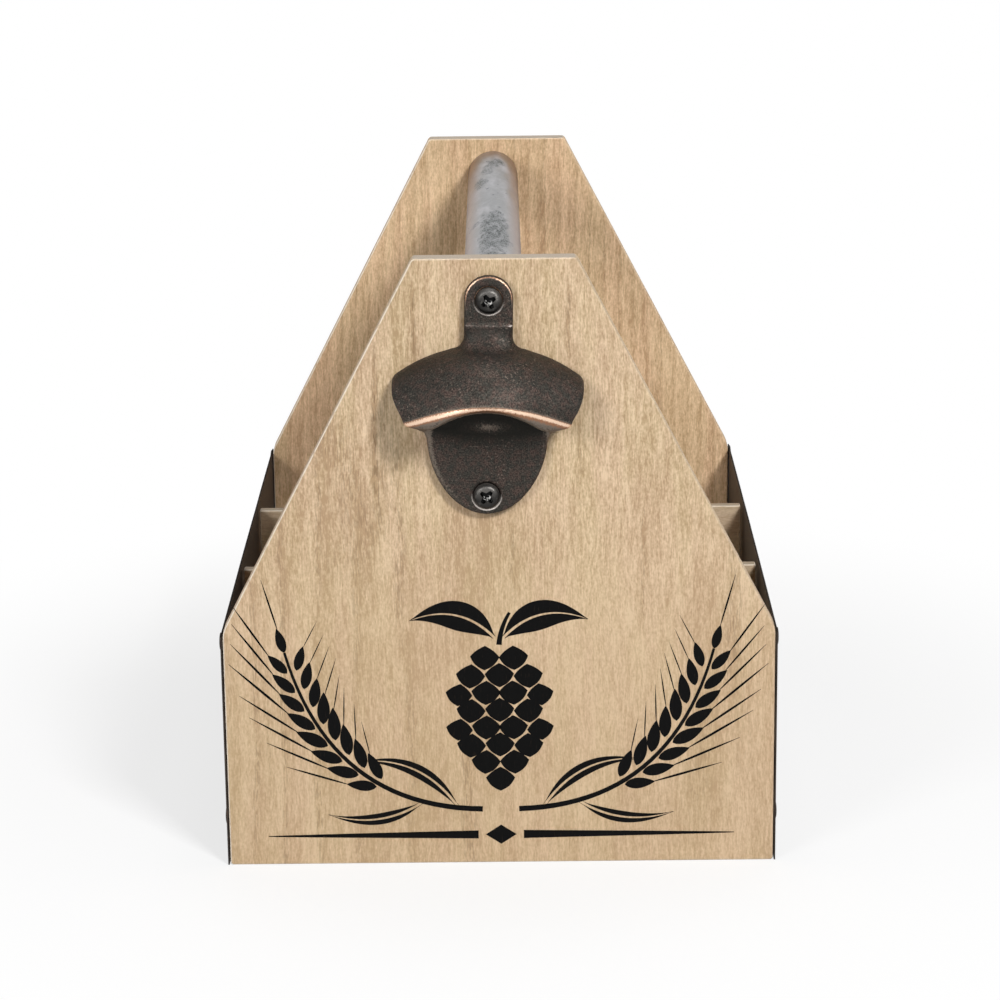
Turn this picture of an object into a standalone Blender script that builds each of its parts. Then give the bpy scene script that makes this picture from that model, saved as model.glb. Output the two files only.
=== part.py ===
"""A carrier for six bottles: wooden end boards, sheet steel sides, a tube handle and a cast cap lifter.

Metres. X runs across the carrier, Y along it from the front board to the rear one, Z up.
The origin is the middle of the underside.
"""

import math

import bmesh
import bpy

# Gap left between pieces that touch, and how far a cutter runs past what it cuts
seat_gap = 0.0003
cut_overrun = 0.002
merge_reach = 0.00001

# End boards
carrier_length = 0.240
panel_width = 0.180
panel_height = 0.204
shoulder_height = 0.081
panel_top_width = 0.0515
panel_thickness = 0.007
panel_arris = 0.0005
foot_corner_radius = 0.0013
shoulder_radius = 0.010
top_corner_radius = 0.002

# Bottom board
bottom_thickness = 0.006
bottom_arris = 0.0003

# Side sheets
sheet_thickness = 0.0005
sheet_corner_radius = 0.0015

# Divider grid
divider_thickness = 0.004
divider_top = 0.078
divider_end_gap = 0.0008
divider_arris = 0.0003
cross_divider_names = ("front", "rear")

# Handle
tube_diameter = 0.01905
tube_wall = 0.0012
tube_edge_round = 0.0003
handle_below_top = 0.0143
handle_offset = -0.0011
handle_skew_deg = 0.3
plug_length = 0.025
plug_chamfer = 0.0006
plug_bite_share = 0.67

# Nails in the side sheets
nail_radius = 0.0007
nail_length = 0.016
nail_point_length = 0.0015
nail_head_radius = 0.0029
nail_head_height = 0.0005
nail_dome_shares = ((0.55, 0.85), (0.9, 0.45))
upper_nail_below_shoulder = 0.0040
lower_nail_height = 0.0165
bottom_nail_count = 3
bottom_nail_end_inset = 0.030

# Screws
screw_radius = 0.0019
screw_point_length = 0.0025
screw_head_radius = 0.0042
screw_head_height = 0.0025
screw_crown_radius = 0.0026
screw_dome_shares = ((0.55, 0.84), (0.88, 0.5), (1.0, 0.12))
screw_recess_span = 0.0046
screw_recess_width = 0.0011
screw_recess_depth = 0.0014
lower_screw_length = 0.0086
screw_spot_radius = 0.0048
screw_spot_depth = 0.0005

# Opener, measured from its upper screw
opener_offset = -0.0019
opener_above_handle = 0.0015
opener_tilt_deg = 1.26
opener_screw_spacing = 0.0638
plate_thickness = 0.0030
plate_arris = 0.0006
tab_width = 0.0155
tab_step_drop = 0.0081
tab_step_height = 0.0006
neck_fillet_radius = 0.0042
neck_rise = 0.0125
neck_curve = 3.0
hood_width = 0.0612
hood_top_drop = 0.0147
hood_top_radius = 0.049
hood_depth = 0.025
hood_end_depth = 0.013
hood_corner_radius = 0.0015
hood_back_relief = 0.0004
hood_wall = 0.003
lip_width = 0.0516
lip_drop = 0.0312
lip_end_drop = 0.0395
lip_round = 0.0012
lip_round_steps = 3
mouth_width = 0.034
mouth_radius = 0.0255
cheek_wall = 0.002
pocket_floor = 0.0002
cheek_width = 0.043
cheek_drop = 0.0435
shield_width = 0.0388
shield_below_screw = 0.0064
shield_roundness = 1.95

# Facets
corner_steps = 5
bore_sides = 16
nail_sides = 12
tube_sides = 48
head_sides = 28
hood_columns = 24
hood_rows = 8
neck_rows = 7
neck_columns = 10
shield_steps = 28

# Sizes that follow
half_length = carrier_length / 2
half_width = panel_width / 2
inner_half_length = half_length - panel_thickness
sheet_inner_x = half_width + seat_gap
sheet_outer_x = sheet_inner_x + sheet_thickness
handle_height = panel_height - handle_below_top
plug_radius = tube_diameter / 2 - tube_wall - seat_gap
screw_bore_radius = screw_radius + seat_gap
nail_bore_radius = nail_radius + seat_gap
upper_screw_length = (plate_thickness - screw_spot_depth + panel_thickness
                      + 2 * seat_gap + plug_length * plug_bite_share)
pocket_width = cheek_width - 2 * cheek_wall
shield_drop = opener_screw_spacing + shield_below_screw
rear_screw_length = panel_thickness + seat_gap + plug_length * plug_bite_share


def clear_scene():
    """Removes every object that is in the scene."""
    for thing in list(bpy.data.objects):
        bpy.data.objects.remove(thing, do_unlink=True)


def make_material(name, colour, roughness, metallic=0.0):
    """A Principled material with one colour."""
    material = bpy.data.materials.new(name)
    material.use_nodes = True
    shader = material.node_tree.nodes["Principled BSDF"]
    shader.inputs["Base Color"].default_value = (*colour, 1.0)
    shader.inputs["Roughness"].default_value = roughness
    shader.inputs["Metallic"].default_value = metallic
    material.diffuse_color = (*colour, 1.0)
    return material


def end_wood():
    return make_material("end_wood", (0.60, 0.45, 0.28), 0.6)


def inner_wood():
    return make_material("inner_wood", (0.52, 0.41, 0.28), 0.7)


def sheet_steel():
    return make_material("sheet_steel", (0.06, 0.045, 0.035), 0.45, 0.8)


def galvanised_steel():
    return make_material("galvanised_steel", (0.35, 0.36, 0.38), 0.35, 0.9)


def antique_copper():
    return make_material("antique_copper", (0.055, 0.032, 0.026), 0.4, 0.9)


def black_steel():
    return make_material("black_steel", (0.02, 0.02, 0.02), 0.35, 0.7)


def nail_steel():
    return make_material("nail_steel", (0.03, 0.025, 0.022), 0.4, 0.7)


def add_group(name, place=(0, 0, 0), turn=(0, 0, 0), parent=None):
    """An empty that carries the pieces of one assembly."""
    group = bpy.data.objects.new(name, None)
    bpy.context.collection.objects.link(group)
    group.location = place
    group.rotation_euler = turn
    group.parent = parent
    return group


def add_piece(name, bm, material, parent, place=(0, 0, 0), turn=(0, 0, 0), is_round=True):
    """Makes an object from a bmesh, with its faces outward and the faces of a round piece smooth."""
    bmesh.ops.recalc_face_normals(bm, faces=bm.faces)
    mesh = bpy.data.meshes.new(name)
    bm.to_mesh(mesh)
    bm.free()
    if is_round:
        mesh.shade_smooth()
        mesh.set_sharp_from_angle(angle=math.radians(35))
    piece = bpy.data.objects.new(name, mesh)
    bpy.context.collection.objects.link(piece)
    if material:
        mesh.materials.append(material)
    piece.parent = parent
    piece.location = place
    piece.rotation_euler = turn
    return piece


def add_cutter(name, bm, parent, place=(0, 0, 0), turn=(0, 0, 0)):
    """A shape that only serves Booleans."""
    cutter = add_piece(name, bm, None, parent, place, turn)
    cutter.hide_render = True
    cutter.display_type = "WIRE"
    return cutter


def combine(piece, other, operation):
    """Adds a Boolean that cuts or joins the other shape."""
    modifier = piece.modifiers.new(f"{operation.lower()}_{other.name}", "BOOLEAN")
    modifier.operation = operation
    modifier.object = other


def ease_edges(piece, width):
    """Rounds the square edges by a small width."""
    modifier = piece.modifiers.new("arris", "BEVEL")
    modifier.width = width
    modifier.segments = 1
    modifier.limit_method = "ANGLE"
    modifier.angle_limit = math.radians(60)


def rounded_outline(corners):
    """Rounds each corner of an outline given as (x, z, radius)."""
    points = []
    for i, (x, z, radius) in enumerate(corners):
        before, after = corners[i - 1], corners[(i + 1) % len(corners)]
        legs = []
        for other in (before, after):
            dx, dz = other[0] - x, other[1] - z
            reach = math.hypot(dx, dz)
            legs.append((dx / reach, dz / reach))
        half_angle = math.acos(legs[0][0] * legs[1][0] + legs[0][1] * legs[1][1]) / 2
        middle = (legs[0][0] + legs[1][0], legs[0][1] + legs[1][1])
        span = math.hypot(*middle)
        centre_reach = radius / math.sin(half_angle)
        centre = (x + middle[0] / span * centre_reach, z + middle[1] / span * centre_reach)
        tangent = radius / math.tan(half_angle)
        start = math.atan2(z + legs[0][1] * tangent - centre[1], x + legs[0][0] * tangent - centre[0])
        end = math.atan2(z + legs[1][1] * tangent - centre[1], x + legs[1][0] * tangent - centre[0])
        turn = (end - start + math.pi) % (2 * math.pi) - math.pi
        for step in range(corner_steps + 1):
            angle = start + turn * step / corner_steps
            points.append((centre[0] + radius * math.cos(angle), centre[1] + radius * math.sin(angle)))
    return points


def prism(outline, depth):
    """An outline in X and Z, extruded towards +Y."""
    bm = bmesh.new()
    face = bm.faces.new([bm.verts.new((x, 0, z)) for x, z in outline])
    grown = bmesh.ops.extrude_face_region(bm, geom=[face])
    moved = [v for v in grown["geom"] if isinstance(v, bmesh.types.BMVert)]
    bmesh.ops.translate(bm, verts=moved, vec=(0, depth, 0))
    return bm


def block(low, high):
    """A box between two corners."""
    bm = prism([(low[0], low[2]), (high[0], low[2]), (high[0], high[2]), (low[0], high[2])],
               high[1] - low[1])
    bmesh.ops.translate(bm, verts=bm.verts, vec=(0, low[1], 0))
    return bm


def turned(profile, sides, closed=False):
    """A profile of (radius, y) turned round the Y axis. A closed profile makes a ring."""
    bm = bmesh.new()
    verts = [bm.verts.new((radius, y, 0)) for radius, y in profile]
    edges = [bm.edges.new(pair) for pair in zip(verts, verts[1:])]
    if closed:
        edges.append(bm.edges.new((verts[-1], verts[0])))
    bmesh.ops.spin(bm, geom=verts + edges, cent=(0, 0, 0), axis=(0, 1, 0),
                   angle=2 * math.pi, steps=sides, use_merge=True)
    bmesh.ops.remove_doubles(bm, verts=bm.verts, dist=merge_reach)
    return bm


def lofted(columns):
    """Closes a row of equal loops of points into one solid."""
    bm = bmesh.new()
    loops = [[bm.verts.new(point) for point in column] for column in columns]
    for left, right in zip(loops, loops[1:]):
        for i in range(len(left)):
            bm.faces.new((left[i - 1], left[i], right[i], right[i - 1]))
    bm.faces.new(loops[0])
    bm.faces.new(loops[-1])
    return bm


def panel_outline():
    """The end board's outline: upright sides, a shoulder, slants and a narrow flat top."""
    right = [(half_width, 0, foot_corner_radius),
             (half_width, shoulder_height, shoulder_radius),
             (panel_top_width / 2, panel_height, top_corner_radius)]
    return rounded_outline(right + [(-x, z, radius) for x, z, radius in reversed(right)])


def make_panel(name, front_y, wood, carrier):
    """One end board. Its bores are cut after its fasteners are known."""
    panel = add_piece(name, prism(panel_outline(), panel_thickness), wood, carrier, (0, front_y, 0),
                      is_round=False)
    ease_edges(panel, panel_arris)
    return panel


def make_bottom_board(wood, carrier):
    """The board between the end boards that the bottles stand on."""
    reach = inner_half_length - seat_gap
    board = add_piece("bottom_board", block((-half_width, -reach, 0), (half_width, reach, bottom_thickness)),
                      wood, carrier, is_round=False)
    ease_edges(board, bottom_arris)
    return board


def make_side_sheet(name, side, steel, carrier):
    """A steel sheet over the edges of the boards. Side is 1 on the right and -1 on the left."""
    outline = rounded_outline([(-half_length, 0, sheet_corner_radius),
                               (half_length, 0, sheet_corner_radius),
                               (half_length, shoulder_height, sheet_corner_radius),
                               (-half_length, shoulder_height, sheet_corner_radius)])
    inner_x = sheet_inner_x if side > 0 else -sheet_outer_x
    bm = prism(outline, sheet_thickness)
    return add_piece(name, bm, steel, carrier, (inner_x + sheet_thickness, 0, 0), (0, 0, math.pi / 2),
                     is_round=False)


def cross_divider_places():
    """Y of each cross divider's middle, for cells of equal length."""
    cells = len(cross_divider_names) + 1
    return [-inner_half_length + 2 * inner_half_length * i / cells for i in range(1, cells)]


def make_divider_grid(wood, grid):
    """The long divider, slotted from above, and the cross dividers, slotted from below."""
    low = bottom_thickness + seat_gap
    middle = (low + divider_top) / 2
    half = divider_thickness / 2
    slot_half = half + seat_gap
    reach = inner_half_length - divider_end_gap
    across = sheet_inner_x - divider_end_gap
    long_divider = add_piece("long_divider", block((-half, -reach, low), (half, reach, divider_top)),
                             wood, grid, is_round=False)
    ease_edges(long_divider, divider_arris)
    for name, y in zip(cross_divider_names, cross_divider_places()):
        long_slot = add_cutter(f"long_divider_slot_{name}",
                               block((-half - cut_overrun, y - slot_half, middle),
                                     (half + cut_overrun, y + slot_half, divider_top + cut_overrun)), grid)
        combine(long_divider, long_slot, "DIFFERENCE")
        cross = add_piece(f"cross_divider_{name}",
                          block((-across, -half, low), (across, half, divider_top)), wood, grid,
                          (0, y, 0), is_round=False)
        ease_edges(cross, divider_arris)
        slot = add_cutter(f"cross_divider_slot_{name}",
                          block((-slot_half, -half - cut_overrun, low - cut_overrun),
                                (slot_half, half + cut_overrun, middle + seat_gap)), grid, (0, y, 0))
        combine(cross, slot, "DIFFERENCE")


def make_handle(steel, wood, carrier):
    """The tube between the end boards, with a wooden plug in each end."""
    reach = inner_half_length - seat_gap
    outer = tube_diameter / 2
    inner = outer - tube_wall
    profile = [(outer, -reach + tube_edge_round), (outer, reach - tube_edge_round),
               (outer - tube_edge_round, reach), (inner, reach),
               (inner, -reach), (outer - tube_edge_round, -reach)]
    handle = add_group("handle", (handle_offset, 0, handle_height), (0, 0, math.radians(handle_skew_deg)),
                       carrier)
    add_piece("handle_tube", turned(profile, tube_sides, closed=True), steel, handle)
    plugs = {}
    for name, turn in (("front", 0), ("rear", math.pi)):
        end = add_group(f"handle_end_{name}", (0, -reach if turn == 0 else reach, 0), (0, 0, turn), handle)
        plug_profile = [(0, 0), (plug_radius - plug_chamfer, 0), (plug_radius, plug_chamfer),
                        (plug_radius, plug_length - plug_chamfer),
                        (plug_radius - plug_chamfer, plug_length), (0, plug_length)]
        plugs[name] = add_piece(f"handle_plug_{name}", turned(plug_profile, tube_sides), wood, end)
    return plugs


def screw_shape(length):
    """A pan-head screw along +Y, with the underside of its head at the origin."""
    rim = screw_head_radius - screw_crown_radius
    dome = [(screw_crown_radius + rim * out, -screw_head_height * up) for out, up in screw_dome_shares]
    profile = [(0, -screw_head_height), (screw_crown_radius, -screw_head_height), *dome,
               (screw_head_radius, 0), (screw_radius, 0),
               (screw_radius, length - screw_point_length), (0, length)]
    return turned(profile, head_sides)


def cross_outline(span, width):
    """A plus sign."""
    long, short = span / 2, width / 2
    quarter = [(long, -short), (long, short), (short, short)]
    turns = [(1, 0), (0, 1), (-1, 0), (0, -1)]
    return [(x * c - z * s, x * s + z * c) for c, s in turns for x, z in quarter]


def make_screw(name, length, steel, parent, place, turn=(0, 0, 0)):
    """A screw with its cross recess, set by a group at the underside of its head."""
    seat = add_group(f"{name}_seat", place, turn, parent)
    screw = add_piece(name, screw_shape(length), steel, seat)
    recess = prism(cross_outline(screw_recess_span, screw_recess_width), screw_recess_depth + cut_overrun)
    cutter = add_cutter(f"{name}_recess", recess, seat, (0, -screw_head_height - cut_overrun, 0))
    combine(screw, cutter, "DIFFERENCE")
    return seat


def add_screw_bore(name, seat, length):
    """A cutter round a screw, from its head's underside to past its point."""
    bore = turned([(0, -cut_overrun), (screw_bore_radius, -cut_overrun),
                   (screw_bore_radius, length), (0, length)], bore_sides)
    return add_cutter(name, bore, seat)


def make_rear_screw(steel, carrier, rear_panel, plug):
    """The screw through the rear board into the rear plug, and its bores."""
    rear_x = handle_offset - half_length * math.sin(math.radians(handle_skew_deg))
    place = (rear_x, half_length + seat_gap, handle_height)
    seat = make_screw("handle_screw_rear", rear_screw_length, steel, carrier, place, (0, 0, math.pi))
    bore = add_screw_bore("handle_screw_bore", seat, rear_screw_length + seat_gap)
    for piece in (rear_panel, plug):
        combine(piece, bore, "DIFFERENCE")


def arc_drop(x, radius):
    """How far an arc falls below its crown at x."""
    return radius - math.sqrt(radius * radius - x * x)


def lip_fall(x):
    """How far the lip's edge falls below its crown: an arch over the mouth, then nearly level cheeks."""
    half_mouth = mouth_width / 2
    arch = arc_drop(min(abs(x), half_mouth), mouth_radius)
    cheek_share = max(abs(x) - half_mouth, 0) / (lip_width / 2 - half_mouth)
    return arch + (lip_end_drop - lip_drop - arc_drop(half_mouth, mouth_radius)) * cheek_share


def plate_outline():
    """The flat back of the opener: round tab, neck fillets, a part under the hood, and the shield."""
    half_tab = tab_width / 2
    right = []
    for step in range(corner_steps * 2 + 1):
        angle = math.pi / 2 * (1 - step / (corner_steps * 2))
        right.append((half_tab * math.cos(angle), half_tab * math.sin(angle)))
    fillet_x = half_tab + neck_fillet_radius
    fillet_foot = hood_top_drop + arc_drop(fillet_x, hood_top_radius)
    for step in range(corner_steps + 1):
        angle = math.pi / 2 * step / corner_steps
        right.append((fillet_x - neck_fillet_radius * math.cos(angle),
                      -fillet_foot + neck_fillet_radius * (1 - math.sin(angle))))
    half_shield = shield_width / 2
    right.append((half_shield, -(hood_top_drop + lip_drop) / 2 - hood_wall))
    right.append((half_shield, -cheek_drop))
    fall = shield_drop - cheek_drop
    for step in range(1, shield_steps // 2 + 1):
        angle = math.pi / 2 * step / (shield_steps // 2)
        x = half_shield * max(math.cos(angle), 0) ** (2 / shield_roundness)
        z = fall * math.sin(angle) ** (2 / shield_roundness)
        right.append((x, -cheek_drop - z))
    left = [(-x, z) for x, z in reversed(right[1:-1])]
    return [(0, half_tab)] + right[1:-1] + [(0, -shield_drop)] + left


def hood_point(share, rise, depth, top_width, bottom_width, top_drop, bottom_drop):
    """A point of the hood's skin. Rise goes from 0 at the board to 1 at the lip."""
    bend = math.pi / 2 * rise
    down = 1 - math.cos(bend)
    top_x, bottom_x = share * top_width / 2, share * bottom_width / 2
    top_z = -top_drop - arc_drop(top_x, hood_top_radius)
    bottom_z = -bottom_drop - lip_fall(bottom_x)
    return (top_x + (bottom_x - top_x) * down, -depth * math.sin(bend), top_z + (bottom_z - top_z) * down)


def hood_reach(share):
    """How far the hood stands out of the board, most in the middle."""
    return hood_depth - (hood_depth - hood_end_depth) * share * share


def hood_share(i):
    """Where a column stands, from -1 to 1, with the columns closer together towards the ends."""
    return math.sin(math.pi * (i / hood_columns - 1 / 2))


def hood_corner(share):
    """How far the rounded ends of the hood draw in from its top and from its lip."""
    inward = min((1 - abs(share)) * hood_width / 2, hood_corner_radius)
    return hood_corner_radius - math.sqrt(inward * (2 * hood_corner_radius - inward))


def hood_shape():
    """The hood as a solid block under its curved skin."""
    columns = []
    for i in range(hood_columns + 1):
        share = hood_share(i)
        depth = hood_reach(share)
        corner = hood_corner(share)
        column = []
        for row in range(hood_rows + 1):
            x, y, z = hood_point(share, row / hood_rows, depth, hood_width, lip_width,
                                 hood_top_drop + corner, lip_drop - lip_round - corner)
            column.append((x, min(y, -hood_back_relief), z))
        lip_x, lip_y, lip_z = column[-1]
        for step in range(1, lip_round_steps + 1):
            angle = math.pi / 2 * step / lip_round_steps
            column.append((lip_x, lip_y + lip_round * (1 - math.cos(angle)),
                           lip_z - lip_round * math.sin(angle)))
        column.append((share * cheek_width / 2, -hood_back_relief, -cheek_drop))
        columns.append(column)
    return lofted(columns)


def pocket_shape():
    """The space under the hood that a cap goes into, open downward."""
    floor = plate_thickness + pocket_floor
    columns = []
    for i in range(hood_columns + 1):
        share = hood_share(i)
        outer_share = share * pocket_width / hood_width
        depth = hood_reach(outer_share) - hood_wall
        column = []
        for row in range(hood_rows + 1):
            x, y, z = hood_point(share, row / hood_rows, depth, pocket_width, pocket_width,
                                 hood_top_drop + hood_wall, lip_drop)
            column.append((x, min(y, -floor), z))
        x = share * pocket_width / 2
        column.append((x, -depth, -cheek_drop - cut_overrun))
        column.append((x, -floor, -cheek_drop - cut_overrun))
        columns.append(column)
    return lofted(columns)


def neck_shape():
    """The curved ramp that thickens and widens the tab towards the hood, most in the middle."""
    back = plate_thickness / 2
    front = plate_thickness + tab_step_height
    foot = hood_top_drop + hood_wall
    columns = []
    for i in range(neck_columns + 1):
        across = 2 * i / neck_columns - 1
        rise = (neck_rise - front) * (1 - across * across)
        face, rear = [], []
        for row in range(neck_rows + 1):
            climb = (row / neck_rows) ** neck_curve
            x = across * (tab_width / 2 + neck_fillet_radius * climb)
            z = -tab_step_drop - (foot - tab_step_drop) * row / neck_rows
            face.append((x, -front - rise * climb, z))
            rear.append((x, -back, z))
        columns.append(face + rear[::-1])
    return lofted(columns)


def make_opener(copper, steel, carrier):
    """The cast opener, hung from its upper screw, and its two screws."""
    opener = add_group("opener",
                       (opener_offset, -half_length - seat_gap, handle_height + opener_above_handle),
                       (0, math.radians(opener_tilt_deg), 0), carrier)
    plate = prism(plate_outline(), plate_thickness)
    bmesh.ops.translate(plate, verts=plate.verts, vec=(0, -plate_thickness, 0))
    casting = add_piece("opener_casting", plate, copper, opener)
    ease_edges(casting, plate_arris)
    combine(casting, add_cutter("opener_hood", hood_shape(), opener), "UNION")
    combine(casting, add_cutter("opener_neck", neck_shape(), opener), "UNION")
    combine(casting, add_cutter("opener_pocket", pocket_shape(), opener), "DIFFERENCE")
    seats = {}
    head_y = -plate_thickness + screw_spot_depth - seat_gap
    for name, drop, length in (("upper", 0, upper_screw_length),
                               ("lower", opener_screw_spacing, lower_screw_length)):
        spot = turned([(0, -cut_overrun), (screw_spot_radius, -cut_overrun), (screw_spot_radius, 0), (0, 0)],
                      head_sides)
        cutter = add_cutter(f"opener_spot_{name}", spot, opener,
                            (0, -plate_thickness + screw_spot_depth, -drop))
        combine(casting, cutter, "DIFFERENCE")
        seat = make_screw(f"opener_screw_{name}", length, steel, opener, (0, head_y, -drop))
        seats[name] = add_screw_bore(f"opener_screw_bore_{name}", seat, length + seat_gap)
        combine(casting, seats[name], "DIFFERENCE")
    return seats


def nail_places():
    """Y and Z of each nail in one side: into the end boards, then into the bottom board."""
    board_middle = half_length - panel_thickness / 2
    places = [(f"{end}_{level}", y, z)
              for end, y in (("front", -board_middle), ("rear", board_middle))
              for level, z in (("upper", shoulder_height - upper_nail_below_shoulder),
                               ("lower", lower_nail_height))]
    reach = inner_half_length - bottom_nail_end_inset
    for i in range(bottom_nail_count):
        y = -reach + 2 * reach * i / (bottom_nail_count - 1)
        places.append((f"bottom_{i + 1}", y, bottom_thickness / 2))
    return places


def nail_shape():
    """A round-head nail along +Y, with the underside of its head at the origin."""
    dome = [(nail_head_radius * out, -nail_head_height * up) for out, up in nail_dome_shares]
    profile = [(0, -nail_head_height), *dome, (nail_head_radius, 0), (nail_radius, 0),
               (nail_radius, nail_length - nail_point_length), (0, nail_length)]
    return turned(profile, nail_sides)


def make_nails(side_name, side, steel, carrier, sheet, boards):
    """The nails of one side, and their bores in the sheet and the boards."""
    head_x = side * (sheet_outer_x + seat_gap)
    turn = (0, 0, side * math.pi / 2)
    for place, y, z in nail_places():
        name = f"nail_{side_name}_{place}"
        add_piece(name, nail_shape(), steel, carrier, (head_x, y, z), turn)
        bore = turned([(0, -cut_overrun), (nail_bore_radius, -cut_overrun),
                       (nail_bore_radius, nail_length + seat_gap), (0, nail_length + seat_gap)], nail_sides)
        cutter = add_cutter(f"{name}_bore", bore, carrier, (head_x, y, z), turn)
        for piece in (sheet, boards[place.split("_")[0]]):
            combine(piece, cutter, "DIFFERENCE")


def build():
    """Builds the whole carrier."""
    clear_scene()
    wood, dark_steel, black = end_wood(), sheet_steel(), black_steel()
    carrier = add_group("carrier")
    grid = add_group("divider_grid", parent=carrier)
    front = make_panel("front_panel", -half_length, wood, carrier)
    rear = make_panel("rear_panel", half_length - panel_thickness, wood, carrier)
    board_wood = inner_wood()
    bottom = make_bottom_board(board_wood, carrier)
    make_divider_grid(board_wood, grid)
    plugs = make_handle(galvanised_steel(), board_wood, carrier)
    bores = make_opener(antique_copper(), black, carrier)
    for piece in (front, plugs["front"]):
        combine(piece, bores["upper"], "DIFFERENCE")
    combine(front, bores["lower"], "DIFFERENCE")
    make_rear_screw(black, carrier, rear, plugs["rear"])
    boards = {"front": front, "rear": rear, "bottom": bottom}
    tack = nail_steel()
    for side_name, side in (("left", -1), ("right", 1)):
        sheet = make_side_sheet(f"side_sheet_{side_name}", side, dark_steel, carrier)
        make_nails(side_name, side, tack, carrier, sheet, boards)


build()
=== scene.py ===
"""The looks of a carrier for six bottles: pale wood ends, dark sheet steel and an antique copper opener.

Metres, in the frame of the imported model: X across, Y from the front board to the rear one, Z up.
MM is one millimetre. The finishes, the wear and the print work in millimetres.
Colours are written in sRGB from 0 to 255.
"""

import logging
import math
from collections.abc import Callable, Sequence
from dataclasses import dataclass, field
from enum import Enum
from functools import reduce
from typing import Any, ClassVar, NamedTuple

import bmesh
import bpy
import numpy as np
from mathutils import Euler, Matrix, Vector


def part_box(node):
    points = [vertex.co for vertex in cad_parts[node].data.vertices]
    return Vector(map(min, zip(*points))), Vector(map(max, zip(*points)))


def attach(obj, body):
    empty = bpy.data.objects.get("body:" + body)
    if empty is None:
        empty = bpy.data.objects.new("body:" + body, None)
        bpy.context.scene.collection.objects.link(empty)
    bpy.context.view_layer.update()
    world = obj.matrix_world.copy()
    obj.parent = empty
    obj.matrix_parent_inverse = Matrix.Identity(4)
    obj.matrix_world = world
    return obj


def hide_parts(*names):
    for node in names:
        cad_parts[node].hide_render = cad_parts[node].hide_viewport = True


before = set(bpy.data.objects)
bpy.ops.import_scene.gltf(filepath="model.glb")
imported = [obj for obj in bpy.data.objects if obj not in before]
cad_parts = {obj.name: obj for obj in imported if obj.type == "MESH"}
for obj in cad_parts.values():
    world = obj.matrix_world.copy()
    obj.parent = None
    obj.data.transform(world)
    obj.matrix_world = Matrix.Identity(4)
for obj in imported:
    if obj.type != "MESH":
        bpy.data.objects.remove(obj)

log = logging.getLogger("carrier")

MM = 0.001
WHITE = (1.0, 1.0, 1.0, 1.0)

Colour = tuple[float, float, float]
Point = tuple[float, float, float]
Pair = tuple[float, float]
Outline = list[Pair]
Socket = bpy.types.NodeSocket
Thing = bpy.types.Object
Mesh = bpy.types.Mesh
Material = bpy.types.Material
Solid = bmesh.types.BMesh


class Body(Enum):
    """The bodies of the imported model."""

    CARRIER = "carrier"
    DIVIDERS = "divider_grid"


class Slot(Enum):
    """The record's material slots."""

    END_WOOD = "end_wood"
    INNER_WOOD = "inner_wood"
    SHEET_STEEL = "sheet_steel"
    GALVANISED = "galvanised_steel"
    COPPER = "antique_copper"
    BLACK_STEEL = "black_steel"
    NAIL_STEEL = "nail_steel"


class Grain(Enum):
    """Which of a board's axes lie across the grain, through the board and along the grain."""

    UPRIGHT = ("X", "Y", "Z")
    CROSSWISE = ("Z", "Y", "X")
    LENGTHWISE = ("X", "Z", "Y")


class Side(Enum):
    """The carrier's two long sides."""

    LEFT = -1
    RIGHT = 1


def linear(colour: Any) -> Any:
    """Turns an sRGB colour into the linear one that a socket takes.

    Args:
        colour: Red, green and blue from 0 to 255, or a socket, which stays as it is.

    Returns:
        Linear red, green, blue and an alpha of 1, or the socket.
    """
    if isinstance(colour, Socket):
        return colour
    shares = [channel / 255 for channel in colour]
    bent = [s / 12.92 if s <= 0.04045 else ((s + 0.055) / 1.055) ** 2.4 for s in shares]
    return (*bent, 1.0)


def ramp(values: Any, start: Any, end: Any) -> Any:
    """Values mapped to 0 at a start and to 1 at an end, and kept between."""
    return np.clip((values - start) / (end - start), 0, 1)


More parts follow.
